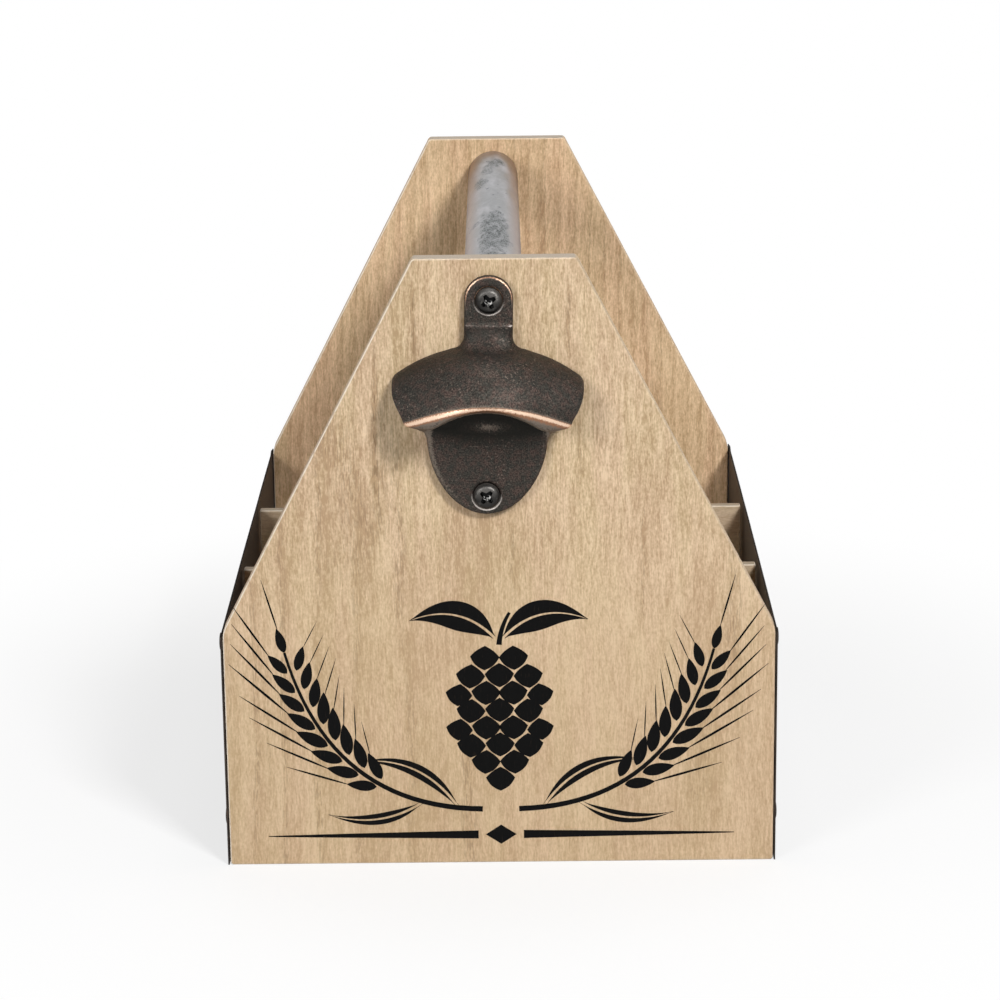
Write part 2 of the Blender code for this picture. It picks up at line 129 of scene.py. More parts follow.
class Graph:
    """Sets nodes in a tree and links them."""

    def __init__(self, tree: bpy.types.NodeTree) -> None:
        """Starts with an empty tree."""
        self.tree = tree
        tree.nodes.clear()

    def feed(self, socket: Socket, value: Any) -> None:
        """Links a socket to another one, or gives it a constant.

        Args:
            socket: The input socket.
            value: An output socket or a plain value.
        """
        if isinstance(value, Socket):
            self.tree.links.new(value, socket)
        else:
            socket.default_value = value

    def node(self, kind: str, feeds: dict[str | int, Any] | None = None, **settings: Any) -> bpy.types.Node:
        """Adds one node.

        Args:
            kind: The node's type name.
            feeds: What goes into its inputs, by name or place.
            settings: The node's own properties.

        Returns:
            The new node.
        """
        made = self.tree.nodes.new(kind)
        for name, value in settings.items():
            setattr(made, name, value)
        for key, value in (feeds or {}).items():
            self.feed(made.inputs[key], value)
        return made

    def math(self, operation: str, *values: Any) -> Socket:
        """The result of a Math node."""
        return self.node("ShaderNodeMath", dict(enumerate(values)), operation=operation).outputs[0]

    def times(self, *values: Any) -> Socket:
        """The product of two or more values."""
        return reduce(lambda first, second: self.math("MULTIPLY", first, second), values)

    def scaled(self, value: Any, factor: Any, base: Any) -> Socket:
        """A value times a factor, added to a base."""
        return self.math("MULTIPLY_ADD", value, factor, base)

    def swung(self, noise: Any, reach: float, base: Any) -> Socket:
        """A base that a noise raises and lowers by up to half a reach."""
        return self.scaled(self.math("SUBTRACT", noise, 0.5), reach, base)

    def vector(self, operation: str, *values: Any) -> Socket:
        """The vector result of a Vector Math node."""
        made = self.node("ShaderNodeVectorMath", dict(enumerate(values)), operation=operation)
        return made.outputs["Vector"]

    def length(self, vector: Any) -> Socket:
        """A vector's length."""
        return self.node("ShaderNodeVectorMath", {0: vector}, operation="LENGTH").outputs["Value"]

    def parts(self, vector: Any) -> Sequence[Socket]:
        """A vector's X, Y and Z."""
        return self.node("ShaderNodeSeparateXYZ", {0: vector}).outputs

    def joined(self, *parts: Any) -> Socket:
        """A vector of up to three parts."""
        return self.node("ShaderNodeCombineXYZ", dict(enumerate(parts))).outputs[0]

    def coordinates(self, kind: str) -> Socket:
        """A Texture Coordinate node's output of one kind."""
        return self.node("ShaderNodeTexCoord").outputs[kind]

    def attribute(self, name: str, output: str = "Fac") -> Socket:
        """A point attribute's value, or another of its outputs."""
        return self.node("ShaderNodeAttribute", attribute_name=name).outputs[output]

    def remap(self, value: Any, low: float, high: float, to_low: float = 0.0, to_high: float = 1.0,
              smooth: bool = True) -> Socket:
        """Maps one range of a value onto another and clamps it.

        Args:
            value: The value socket.
            low: Where the range starts.
            high: Where it ends.
            to_low: The result at its start.
            to_high: The result at its end.
            smooth: Whether the result eases in and out.

        Returns:
            The value socket.
        """
        feeds = {"Value": value, "From Min": low, "From Max": high, "To Min": to_low, "To Max": to_high}
        kind = "SMOOTHSTEP" if smooth else "LINEAR"
        return self.node("ShaderNodeMapRange", feeds, interpolation_type=kind).outputs["Result"]

    def blend(self, share: Any, first: Any, second: Any) -> Socket:
        """Mixes two colours, each a socket or written in sRGB, by the second one's share."""
        feeds = {0: share, 6: linear(first), 7: linear(second)}
        return self.node("ShaderNodeMix", feeds, data_type="RGBA").outputs[2]

    def coated(self, base: Any, *coats: tuple[Any, Any]) -> Socket:
        """Lays coats of colour over each other.

        Args:
            base: The lowest colour.
            coats: Each coat's share and its colour, from below.

        Returns:
            The colour socket.
        """
        for share, colour in coats:
            base = self.blend(share, base, colour)
        return base

    def tinted(self, colour: Any, factor: Any) -> Socket:
        """A colour with its three channels multiplied by a factor."""
        base = colour if isinstance(colour, Socket) else linear(colour)[:3]
        return self.vector("MULTIPLY", base, self.joined(factor, factor, factor))

    def noise(self, where: Any, scale: Point | float, detail: float = 2.0, roughness: float = 0.5,
              shift: float = 0.0) -> bpy.types.Node:
        """A Noise Texture with its own scale along each axis.

        Args:
            where: The coordinates, in millimetres.
            scale: Features per millimetre, along each axis or along all.
            detail: Octaves.
            roughness: How much the finer octaves count.
            shift: Sets this noise apart from another of the same scale.

        Returns:
            The noise node, with outputs Fac and Color.
        """
        scales = scale if isinstance(scale, tuple) else (scale,) * 3
        placed = self.vector("MULTIPLY_ADD", where, scales, (shift,) * 3)
        feeds = {"Vector": placed, "Scale": 1.0, "Detail": detail, "Roughness": roughness}
        return self.node("ShaderNodeTexNoise", feeds)

    def value(self, *arguments: Any, **options: Any) -> Socket:
        """The grey value of a noise made with the same arguments."""
        return self.noise(*arguments, **options).outputs["Fac"]

    def spotted(self, where: Any, scale: Point | float, span: tuple[float, ...], **options: Any) -> Socket:
        """A noise remapped by a span: two limits, and two results where they aren't 0 and 1."""
        return self.remap(self.value(where, scale, **options), *span)

    def millimetres(self, axes: Sequence[str] = ("X", "Y", "Z"), shift: Point = (0, 0, 0)) -> Socket:
        """Object coordinates in millimetres.

        Args:
            axes: Which object axis goes into each of the three.
            shift: What is added to them.

        Returns:
            The vector socket.
        """
        parts = self.parts(self.coordinates("Object"))
        ordered = self.joined(*(parts[axis] for axis in axes))
        return self.vector("MULTIPLY_ADD", ordered, (1 / MM,) * 3, shift)


class Paint(NamedTuple):
    """What a finish works out for its surface shader."""

    colour: Socket
    roughness: Any
    height: Socket


@dataclass(frozen=True)
class Finish:
    """A finish that makes one material. Its relief is in millimetres."""

    name: str
    relief: ClassVar[float] = 0.03
    metallic: ClassVar[float] = 0.0
    specular: ClassVar[float] = 0.5

    def paint(self, graph: Graph) -> Paint:
        """Lays the finish's nodes; each finish has its own."""
        raise NotImplementedError

    def material(self) -> Material:
        """Makes the material: the finish's paint, with its bump and a surface shader.

        Returns:
            The material.
        """
        material = bpy.data.materials.new(self.name)
        material.use_nodes = True
        graph = Graph(material.node_tree)
        colour, roughness, height = self.paint(graph)
        bump = graph.node("ShaderNodeBump", {
            "Height": height, "Distance": self.relief * MM, "Strength": 1.0})
        shader = graph.node("ShaderNodeBsdfPrincipled", {
            "Base Color": colour, "Roughness": roughness, "Metallic": self.metallic,
            "Specular IOR Level": self.specular, "Normal": bump.outputs[0]})
        graph.node("ShaderNodeOutputMaterial", {"Surface": shader.outputs[0]})
        return material


class Streak(NamedTuple):
    """A darker, more open stretch of grain, in millimetres."""

    across: float
    width: float
    low: float
    high: float
    depth: float


@dataclass(frozen=True)
class Wood(Finish):
    """Pale plain wood with upright fibres, fine pores and a soft figure."""

    relief: ClassVar[float] = 0.05
    specular: ClassVar[float] = 0.32
    grain: Grain
    shift: Point = (0.0, 0.0, 0.0)
    light: Colour = (237, 213, 179)
    dark: Colour = (160, 131, 96)
    yellow: Colour = (206, 182, 142)
    pink: Colour = (209, 176, 147)
    pore: Colour = (112, 88, 60)
    # painted highlight colour for the eased edges
    arris: Colour = (252, 240, 222)
    end: Colour = (184, 170, 153)
    pith: Pair = (34.0, 62.0)
    ring: float = 5.5
    sway: float = 14.0
    contrast: float = 1.0
    open_rows: float = 0.55
    # painted shade towards the foot: a calmer, darker tone where the high lamps light the board less
    foot_shade: Colour = (199, 170, 134)
    foot_shade_reach: Pair = (50.0, 150.0)
    foot_shade_share: Pair = (0.0, 0.0)
    # painted shade: the factor that darkens faces looking up
    top_shade: float = 1.0
    streaks: tuple[Streak, ...] = ()

    def figured(self, graph: Graph) -> Socket:
        """The coordinates across, through and along the grain, bent as the fibres are.

        Args:
            graph: The material's tree.

        Returns:
            The vector socket.
        """
        where = graph.millimetres(self.grain.value, self.shift)
        for scale, reach, shift in (((0.010, 0.010, 0.004), self.sway, 0.0),
                                    ((0.085, 0.085, 0.030), 1.5, 7.0),
                                    ((0.42, 0.42, 0.16), 0.32, 13.0)):
            wave = graph.noise(where, scale, detail=1.0, shift=shift).outputs["Color"]
            centred = graph.vector("SUBTRACT", wave, (0.5, 0.5, 0.5))
            where = graph.vector("MULTIPLY_ADD", centred, (reach, reach, 0.0), where)
        return where

    def rings(self, graph: Graph, where: Socket) -> tuple[Socket, Socket]:
        """Growth rings round a far pith.

        Args:
            graph: The material's tree.
            where: The bent coordinates.

        Returns:
            A tone that darkens outward and ends quickly, and the narrow rows where pores stand.
        """
        parts = graph.parts(where)
        across, depth = (graph.math("SUBTRACT", parts[i], middle) for i, middle in enumerate(self.pith))
        squares = graph.scaled(across, across, graph.times(depth, depth))
        turn = graph.math("FRACT", graph.math("DIVIDE", graph.math("SQRT", squares), self.ring))
        tone = graph.times(graph.remap(turn, 0.0, 0.86), graph.remap(turn, 0.86, 1.0, 1.0, 0.0))
        row = graph.times(graph.remap(turn, 0.70, 0.84), graph.remap(turn, 0.93, 1.0, 1.0, 0.0))
        return tone, row

    def streaked(self, graph: Graph) -> Any:
        """How strongly the named streaks show, on the unbent board.

        Args:
            graph: The material's tree.

        Returns:
            A share from 0 to 1.
        """
        where = graph.millimetres(self.grain.value)
        parts = graph.parts(where)
        drift = graph.value(where, (0.02, 0.02, 0.05), shift=31.0)
        total: Any = 0.0
        for streak in self.streaks:
            middle = graph.scaled(drift, 2 * streak.width, streak.across - streak.width)
            reach = graph.math("ABSOLUTE", graph.math("SUBTRACT", parts[0], middle))
            fade = (streak.high - streak.low) / 3
            share = graph.times(graph.remap(reach, 0.0, streak.width, streak.depth, 0.0),
                                graph.remap(parts[2], streak.low, streak.low + fade),
                                graph.remap(parts[2], streak.high - fade, streak.high, 1.0, 0.0))
            total = graph.math("MAXIMUM", share, total)
        return total

    def toned(self, graph: Graph, parts: Sequence[tuple[Socket, float]], ring: Socket, streak: Any) -> Socket:
        """Adds up how light the wood is.

        Args:
            graph: The material's tree.
            parts: Noises and how much each counts.
            ring: The growth rings' tone.
            streak: How strongly the streaks show.

        Returns:
            The colour between dark and light wood.
        """
        tone: Any = 0.58
        for part, weight in parts:
            tone = graph.swung(part, weight * self.contrast, tone)
        tone = graph.scaled(ring, -0.24 * self.contrast, tone)
        tone = graph.scaled(streak, -0.55, tone)
        return graph.blend(graph.remap(tone, 0.0, 1.0, smooth=False), self.dark, self.light)

    def paint(self, graph: Graph) -> Paint:
        """Lays fibres, pores, rings and slow changes of tone over each other, with painted shade towards the
        foot and on upward faces, and a painted highlight on the eased edges.

        Args:
            graph: The material's tree.

        Returns:
            The wood's colour, roughness and relief.
        """
        where = self.figured(graph)
        streak = self.streaked(graph)
        ring, row = self.rings(graph, where)
        fibre = graph.value(where, (1.10, 1.10, 0.13), detail=3.0, roughness=0.60)
        broad = graph.value(where, (0.34, 0.34, 0.030), detail=3.0, roughness=0.55, shift=63.0)
        fine = graph.value(where, (2.3, 2.3, 0.45), detail=1.0, shift=3.0)
        speck = graph.value(where, (1.7, 1.7, 1.1), detail=1.0, shift=9.0)
        cloud = graph.value(where, (0.030, 0.030, 0.016), detail=3.0, shift=5.0)
        noises = ((fibre, 1.5), (broad, 0.75), (fine, 1.2), (speck, 0.85), (cloud, 0.85))
        hue = graph.spotted(where, (0.11, 0.11, 0.018), (0.36, 0.64), detail=4.0, shift=17.0)
        along = graph.parts(graph.millimetres(self.grain.value))[2]
        open_grain = graph.spotted(where, (0.05, 0.05, 0.010), (0.40, 0.60), detail=1.0, shift=21.0)
        dashes = graph.spotted(where, (1.9, 1.9, 0.26), (0.50, 0.60), detail=1.0, shift=27.0)
        open_rows = graph.times(row, open_grain, self.open_rows)
        pores = graph.times(dashes, graph.math("MAXIMUM", open_rows, streak))
        facing = graph.parts(graph.coordinates("Normal"))
        sawn = graph.remap(graph.math("ABSOLUTE", facing[self.grain.value[2]]), 0.80, 0.97, 0.0, 0.9)
        dots = graph.spotted(where, (2.4, 2.4, 0.5), (0.40, 0.62, 0.86, 1.06), shift=41.0)
        nicks = graph.spotted(where, (0.5, 0.5, 0.25), (0.24, 0.50, 0.25, 1.0), detail=3.0, shift=51.0)
        body = graph.coated(
            self.toned(graph, noises, ring, streak),
            (0.32, graph.blend(hue, self.yellow, self.pink)),
            # Painted shade towards the foot of the board.
            (graph.remap(along, *self.foot_shade_reach, *self.foot_shade_share), self.foot_shade),
            (graph.times(pores, 0.60), self.pore),
            (sawn, graph.tinted(self.end, dots)))
        # Painted shade: faces that look up are darkened.
        body = graph.tinted(body, graph.remap(facing[2], 0.6, 0.95, 1.0, self.top_shade))
        # Painted highlight along the eased edges, by the arris attribute.
        body = graph.blend(graph.times(graph.attribute("arris"), nicks, 0.85), body, self.arris)
        roughness = graph.remap(fibre, 0.3, 0.7, 0.50, 0.66, smooth=False)
        return Paint(body, roughness, graph.scaled(fine, 0.5, graph.scaled(pores, -0.8, fibre)))


@dataclass(frozen=True)
class SheetSteel(Finish):
    """Sheet steel under a dark brown lacquer, with a cloudy bloom and fine scuffs."""

    metallic: ClassVar[float] = 0.1
    specular: ClassVar[float] = 0.22
    base: Colour = (66, 56, 49)
    deep: Colour = (43, 37, 33)
    rust: Colour = (84, 63, 48)
    cut: Colour = (26, 22, 20)
    rim_height: float = 79.7

    def paint(self, graph: Graph) -> Paint:
        """Lays clouds, freckles and scuffs over the lacquer.

        Args:
            graph: The material's tree.

        Returns:
            The steel's colour, roughness and relief.
        """
        where = graph.millimetres()
        cloud = graph.value(where, (0.035, 0.035, 0.05), detail=5.0, roughness=0.6)
        grain = graph.value(where, 1.4, detail=3.0, roughness=0.65, shift=4.0)
        freckles = graph.spotted(where, 0.45, (0.60, 0.72), detail=4.0, shift=8.0)
        scuffs = graph.spotted(where, (0.9, 0.06, 2.2), (0.62, 0.70), detail=3.0, shift=12.0)
        colour = graph.coated(self.deep, (graph.remap(cloud, 0.36, 0.64), self.base),
                              (graph.times(freckles, 0.5), self.rust))
        colour = graph.tinted(colour, graph.remap(grain, 0.3, 0.7, 0.90, 1.10, smooth=False))
        colour = graph.tinted(colour, graph.remap(scuffs, 0.0, 1.0, 1.0, 1.18))
        rim = graph.remap(graph.parts(where)[2], self.rim_height - 0.3, self.rim_height - 0.1)
        colour = graph.blend(graph.times(rim, 0.8), colour, self.cut)
        roughness = graph.math("MAXIMUM", graph.scaled(cloud, 0.30, 0.40), rim)
        return Paint(colour, roughness, graph.scaled(freckles, 0.8, grain))


class Patch(NamedTuple):
    """A dull patch on the tube, in millimetres: its middle across and along, and half its size."""

    across: float
    along: float
    half_width: float
    half_length: float
    depth: float


@dataclass(frozen=True)
class Galvanised(Finish):
    """Zinc on a drawn tube: a grey bloom along the crown, dull spattered patches, and painted reflections of
    the wood: brown on the flanks and near the rear board, dark at the outermost edges.
    """

    metallic: ClassVar[float] = 0.85
    start: Point
    lean: float
    radius: float
    crown: Colour = (118, 119, 121)
    # painted reflection of the wood on the tube's flanks
    flank_reflection: Colour = (138, 112, 97)
    bloom: Colour = (168, 167, 170)
    dull: Colour = (92, 97, 98)
    spot: Colour = (44, 46, 45)
    # painted reflection, darker, at the tube's outermost edges
    side: Colour = (88, 68, 57)
    patches: tuple[Patch, ...] = (
        Patch(-4.2, 160.0, 2.4, 12.0, 1.0), Patch(1.6, 200.0, 3.6, 9.0, 1.0),
        Patch(-1.8, 184.0, 2.6, 12.0, 0.6),
        Patch(0.6, 62.0, 5.4, 44.0, 1.0), Patch(1.0, 93.0, 3.4, 9.0, 1.0), Patch(0.0, 25.0, 10.0, 3.5, 1.0),
        Patch(-6.0, 84.0, 2.0, 5.0, 0.5), Patch(7.4, 24.0, 1.3, 3.5, 1.0), Patch(-1.5, 44.0, 2.0, 8.0, 0.95))

    def patched(self, graph: Graph, off: Socket, along: Socket, ragged: Socket) -> Any:
        """How dull the zinc is.

        Args:
            graph: The material's tree.
            off: The distance across from the tube's axis.
            along: The distance from its front end.
            ragged: A noise that frays the patches.

        Returns:
            A share from 0 to 1.
        """
        total: Any = 0.0
        for patch in self.patches:
            side = graph.times(graph.math("SUBTRACT", off, patch.across), 1 / patch.half_width)
            far = graph.times(graph.math("SUBTRACT", along, patch.along), 1 / patch.half_length)
            reach = graph.swung(ragged, 2.6, graph.scaled(side, side, graph.times(far, far)))
            total = graph.math("MAXIMUM", graph.remap(reach, 0.35, 1.2, patch.depth, 0.0), total)
        return total

    def paint(self, graph: Graph) -> Paint:
        """Lays the bloom, the spatter and the painted reflections of the wood round the tube.

        Args:
            graph: The material's tree.

        Returns:
            The zinc's colour, roughness and relief.
        """
        where = graph.millimetres(shift=tuple(-part / MM for part in self.start))
        across, along, _ = graph.parts(where)
        off = graph.scaled(along, -self.lean, across)
        reach = graph.times(graph.math("ABSOLUTE", off), MM / self.radius)
        cloud = graph.value(where, (0.16, 0.045, 0.16), detail=4.0, roughness=0.6)
        mottle = graph.value(where, (0.9, 0.5, 0.9), detail=3.0, roughness=0.65, shift=3.0)
        ragged = graph.value(where, (0.35, 0.12, 0.35), detail=3.0, shift=11.0)
        patch = self.patched(graph, off, along, ragged)
        blotch = graph.spotted(where, (0.60, 0.17, 0.60), (0.38, 0.62), detail=3.0, shift=23.0)
        speckle = graph.spotted(where, (2.1, 0.55, 2.1), (0.42, 0.68), roughness=0.6, shift=19.0)
        loose = graph.spotted(where, (0.8, 0.3, 0.8), (0.70, 0.76), shift=29.0)
        spatter = graph.times(patch, speckle, graph.scaled(blotch, 0.6, 0.4))
        spots = graph.math("MAXIMUM", spatter, graph.times(loose, 0.6))
        colour = graph.coated(
            self.crown,
            (graph.remap(cloud, 0.36, 0.66), self.bloom),
            # Painted reflections of the wood: on the flanks, near the rear board and darker at the outermost
            # edges.
            (graph.remap(reach, 0.44, 0.94, 0.0, 0.85), self.flank_reflection),
            (graph.times(patch, graph.scaled(blotch, 0.5, 0.5)), self.dull),
            (graph.times(spots, 0.95), self.spot),
            # Painted reflection of the rear board near the tube's rear end.
            (graph.remap(along, 204.0, 224.0, 0.0, 0.5), self.flank_reflection),
            (graph.remap(reach, 0.86, 1.0, 0.0, 0.8), self.side))
        colour = graph.tinted(colour, graph.remap(mottle, 0.3, 0.7, 0.90, 1.08, smooth=False))
        roughness = graph.scaled(spots, 0.18, graph.remap(cloud, 0.3, 0.7, 0.30, 0.44))
        return Paint(colour, roughness, mottle)


@dataclass(frozen=True)
class AntiqueCopper(Finish):
    """Dark copper plate on a casting, rubbed bright where the mesh says it is worn, with painted highlights
    and painted shadow that the mesh also marks.
    """

    relief: ClassVar[float] = 0.07
    metallic: ClassVar[float] = 0.9
    dark: Colour = (53, 51, 47)
    brown: Colour = (70, 58, 53)
    copper: Colour = (146, 104, 78)
    # polished copper, and the colour of the painted highlight along the lip
    bright: Colour = (240, 208, 182)
    # painted highlight colour
    bare: Colour = (230, 220, 212)
    speck: Colour = (134, 119, 109)
    # black patina, and the painted shadow of the hood
    soot: Colour = (32, 31, 28)
    scuff: Colour = (124, 113, 102)
    warm: Colour = (60, 45, 33)

    def paint(self, graph: Graph) -> Paint:
        """Lays the dark plate, its specks, the rubbed copper, and the painted highlights and painted shadow
        that the mesh marks.

        Args:
            graph: The material's tree.

        Returns:
            The casting's colour, roughness and relief.
        """
        where = graph.millimetres()
        mottle = graph.value(where, 0.42, detail=5.0, roughness=0.7)
        grit = graph.value(where, 1.7, detail=3.0, roughness=0.7, shift=5.0)
        grains = graph.value(where, 2.1, detail=1.0, shift=25.0)
        patches = graph.spotted(where, 0.10, (0.44, 0.62), detail=3.0, shift=9.0)
        specks = graph.spotted(where, 1.5, (0.58, 0.68), detail=3.0, shift=15.0)
        # This value also carries the painted highlights along the lip and in the pocket.
        worn = graph.swung(grit, 0.70, graph.attribute("wear"))
        rubbed = graph.remap(worn, 0.42, 0.74)
        # Painted highlights on the tab's step and round the screw spots.
        bare = graph.remap(graph.swung(grit, 0.8, graph.attribute("bare")), 0.15, 0.95)
        plate = graph.tinted(graph.blend(graph.remap(mottle, 0.40, 0.66), self.dark, self.brown),
                             graph.remap(grains, 0.30, 0.70, 0.48, 1.62, smooth=False))
        colour = graph.coated(
            plate,
            (graph.attribute("warm"), self.warm),
            (graph.times(specks, graph.scaled(patches, 0.5, 0.12)), self.speck),
            # Black patina and painted shadow, as the mesh marks them.
            (graph.attribute("soot"), self.soot),
            (graph.remap(worn, 0.18, 0.42, 0.0, 0.75), self.scuff),
            (rubbed, self.copper),
            (graph.remap(worn, 0.72, 1.08), self.bright),
            (bare, self.bare))
        shine = graph.math("MAXIMUM", rubbed, bare)
        roughness = graph.scaled(shine, -0.24, graph.remap(grit, 0.3, 0.7, 0.52, 0.64))
        return Paint(colour, roughness, graph.scaled(mottle, 0.6, grit))


@dataclass(frozen=True)
class Blackened(Finish):
    """Black oxide on small steel hardware, greyer where it is rubbed."""

    relief: ClassVar[float] = 0.02
    metallic: ClassVar[float] = 0.8
    base: Colour = (34, 32, 31)
    rubbed: Colour = (150, 146, 140)
    roughness: float = 0.42

    def paint(self, graph: Graph) -> Paint:
        """Lays the oxide and its rubbed spots.

        Args:
            graph: The material's tree.

        Returns:
            The oxide's colour, roughness and relief.
        """
        where = graph.millimetres()
        grain = graph.value(where, 1.8, detail=3.0, roughness=0.6)
        thin = graph.times(graph.spotted(where, 0.8, (0.56, 0.72), detail=4.0, shift=6.0), 0.22)
        worn = graph.math("MAXIMUM", thin, graph.attribute("wear"))
        colour = graph.tinted(graph.blend(worn, self.base, self.rubbed),
                              graph.remap(grain, 0.3, 0.7, 0.8, 1.2, smooth=False))
        return Paint(colour, graph.scaled(grain, 0.2, self.roughness - 0.1), grain)


@dataclass(frozen=True)
class CrossHead(Blackened):
    """Black oxide on a pan head, with painted shade in its cross recess, painted glints on the recess's lower
    walls and a painted light that brightens the head's upper half.
    """

    recess_shade: Colour = (6, 6, 6)
    recess_glint: Colour = (236, 234, 230)
    reach: float = 2.75
    face: float = -2.35

    def paint(self, graph: Graph) -> Paint:
        """Paints shade into the recess, glints on its lower walls and light on the head's upper half.

        Args:
            graph: The material's tree.

        Returns:
            The screw's colour, roughness and relief.
        """
        colour, roughness, height = super().paint(graph)
        local = graph.attribute("local", "Vector")
        across, out, up = graph.parts(local)
        away = graph.length(graph.joined(across, up))
        near = graph.remap(away, self.reach - 0.15, self.reach, 1.0, 0.0)
        # Painted shade in the cross recess.
        sunk = graph.times(near, graph.remap(out, self.face - 0.12, self.face + 0.05))
        # Painted light: the head is lighter towards its top and darker towards its rim.
        shade = graph.times(graph.remap(up, -1.0, 3.2, 0.68, 2.9), graph.remap(away, 2.2, 4.1, 1.0, 0.6))
        # Painted glints on the recess's lower walls.
        ring = graph.times(graph.remap(away, 0.30, 0.55), graph.remap(away, 1.15, 1.55, 1.0, 0.0))
        ragged = graph.spotted(local, 1.5, (0.45, 0.58), shift=2.0)
        lit = graph.times(ring, graph.remap(up, 0.35, -0.35), ragged, near)
        colour = graph.tinted(graph.blend(sunk, colour, self.recess_shade), shade)
        return Paint(graph.blend(lit, colour, self.recess_glint), roughness, height)


@dataclass(frozen=True)
class Ink(Finish):
    """Matt black ink, thin enough that the grain still shows through."""

    specular: ClassVar[float] = 0.10
    black: Colour = (3, 3, 3)
    thin: Colour = (26, 21, 17)

    def paint(self, graph: Graph) -> Paint:
        """Lays the grain's relief and a few thin places under the ink.

        Args:
            graph: The material's tree.

        Returns:
            The ink's colour, roughness and relief.
        """
        where = graph.millimetres()
        fibre = graph.value(where, (1.1, 1.1, 0.13), detail=3.0, roughness=0.6)
        gaps = graph.spotted(where, (1.9, 1.9, 0.30), (0.60, 0.72, 0.0, 0.8), shift=5.0)
        return Paint(graph.blend(gaps, self.black, self.thin), graph.scaled(fibre, 0.2, 0.65), fibre)


def cad_mesh(node: str) -> Mesh:
    """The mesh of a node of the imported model."""
    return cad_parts[node].data


def points_of(mesh: Mesh) -> np.ndarray:
    """A mesh's points, one row each."""
    return np.array([vertex.co for vertex in mesh.vertices])


def new_object(name: str, data: bpy.types.ID) -> Thing:
    """Puts a mesh, a light or a camera in the scene as an object at the origin."""
    made = bpy.data.objects.new(name, data)
    bpy.context.scene.collection.objects.link(made)
    return made


def from_bmesh(name: str, bm: Solid, place: Matrix | None = None) -> Thing:
    """Makes an object from a bmesh, with its faces outward.

    Args:
        name: The object's name.
        bm: The shape, which is freed.
        place: Where it goes, written into its points.

    Returns:
        The object, at the origin.
    """
    if place is not None:
        bm.transform(place)
    bmesh.ops.recalc_face_normals(bm, faces=bm.faces)
    mesh = bpy.data.meshes.new(name)
    bm.to_mesh(mesh)
    bm.free()
    return new_object(name, mesh)


def settled(thing: Thing, name: str | None = None) -> Thing:
    """Swaps an object for the plain mesh that its modifiers make.

    Args:
        thing: The object, which is removed.
        name: The new object's name, if it changes.

    Returns:
        The new object.
    """
    graph = bpy.context.evaluated_depsgraph_get()
    mesh = bpy.data.meshes.new_from_object(thing.evaluated_get(graph), depsgraph=graph)
    kept = name or thing.name
    bpy.data.objects.remove(thing, do_unlink=True)
    mesh.name = kept
    return new_object(kept, mesh)


def dress(piece: Thing, material: Material, body: Body, slot: Slot,
          *replaced: str) -> Thing:
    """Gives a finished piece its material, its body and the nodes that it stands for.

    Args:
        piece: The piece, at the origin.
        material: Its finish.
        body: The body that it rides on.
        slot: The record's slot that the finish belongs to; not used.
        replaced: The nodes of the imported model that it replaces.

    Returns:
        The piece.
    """
    piece.data.materials.clear()
    piece.data.materials.append(material)
    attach(piece, body.value)
    if replaced:
        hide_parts(*replaced)
    log.info("%s: %d faces", piece.name, len(piece.data.polygons))
    return piece


def write_values(mesh: Mesh, name: str, values: np.ndarray) -> None:
    """Stores one value for each point of a mesh as an attribute."""
    layer = mesh.attributes.new(name, "FLOAT", "POINT")
    layer.data.foreach_set("value", values.astype(np.float32))


def write_vectors(mesh: Mesh, name: str, values: np.ndarray) -> None:
    """Stores one vector for each point of a mesh as an attribute."""
    layer = mesh.attributes.new(name, "FLOAT_VECTOR", "POINT")
    layer.data.foreach_set("vector", values.astype(np.float32).ravel())


def rounded(corners: Sequence[Point], steps: int) -> Outline:
    """Rounds the corners of a convex outline that runs counter-clockwise.

    Args:
        corners: The X and Z of each corner, with the radius of its round.
        steps: How finely each round is divided.

    Returns:
        The outline's points.
    """
    points = []
    for i, (x, z, radius) in enumerate(corners):
        here = Vector((x, z))
        before = (Vector(corners[i - 1][:2]) - here).normalized()
        after = (Vector(corners[(i + 1) % len(corners)][:2]) - here).normalized()
        half = before.angle(after) / 2
        middle = here + (before + after).normalized() * radius / math.sin(half)
        start = here + before * radius / math.tan(half) - middle
        for step in range(steps + 1):
            turn = Matrix.Rotation((math.pi - 2 * half) * step / steps, 2)
            points.append(tuple(middle + turn @ start))
    return points


def arc(centre: Pair, radius: float, start: float, end: float, steps: int) -> Outline:
    """The points along an arc from a start angle to an end angle, in degrees."""
    angles = [math.radians(start + (end - start) * i / steps) for i in range(steps + 1)]
    return [(centre[0] + radius * math.cos(angle), centre[1] + radius * math.sin(angle)) for angle in angles]


def eased(node: str, name: str, width: float, flat_area: float) -> Thing:
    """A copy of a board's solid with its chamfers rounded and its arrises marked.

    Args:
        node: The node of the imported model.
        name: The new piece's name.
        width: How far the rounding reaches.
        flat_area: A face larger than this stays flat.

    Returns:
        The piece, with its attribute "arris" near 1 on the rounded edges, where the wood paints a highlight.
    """
    bm = bmesh.new()
    bm.from_mesh(cad_mesh(node))
    bmesh.ops.remove_doubles(bm, verts=bm.verts, dist=0.001 * MM)
    bmesh.ops.dissolve_limit(bm, angle_limit=math.radians(1), verts=bm.verts, edges=bm.edges)
    sharp = [edge for edge in bm.edges if edge.is_manifold and edge.calc_face_angle() > math.radians(30)]
    bmesh.ops.bevel(bm, geom=sharp, offset=width, offset_type="OFFSET", segments=2, profile=0.5,
                    affect="EDGES", clamp_overlap=True)
    for face in bm.faces:
        face.smooth = face.calc_area() < flat_area
    steepest = np.array([max(abs(part) for part in vertex.normal) for vertex in bm.verts])
    piece = from_bmesh(name, bm)
    write_values(piece.data, "arris", ramp(steepest, 0.995, 0.875))
    return piece


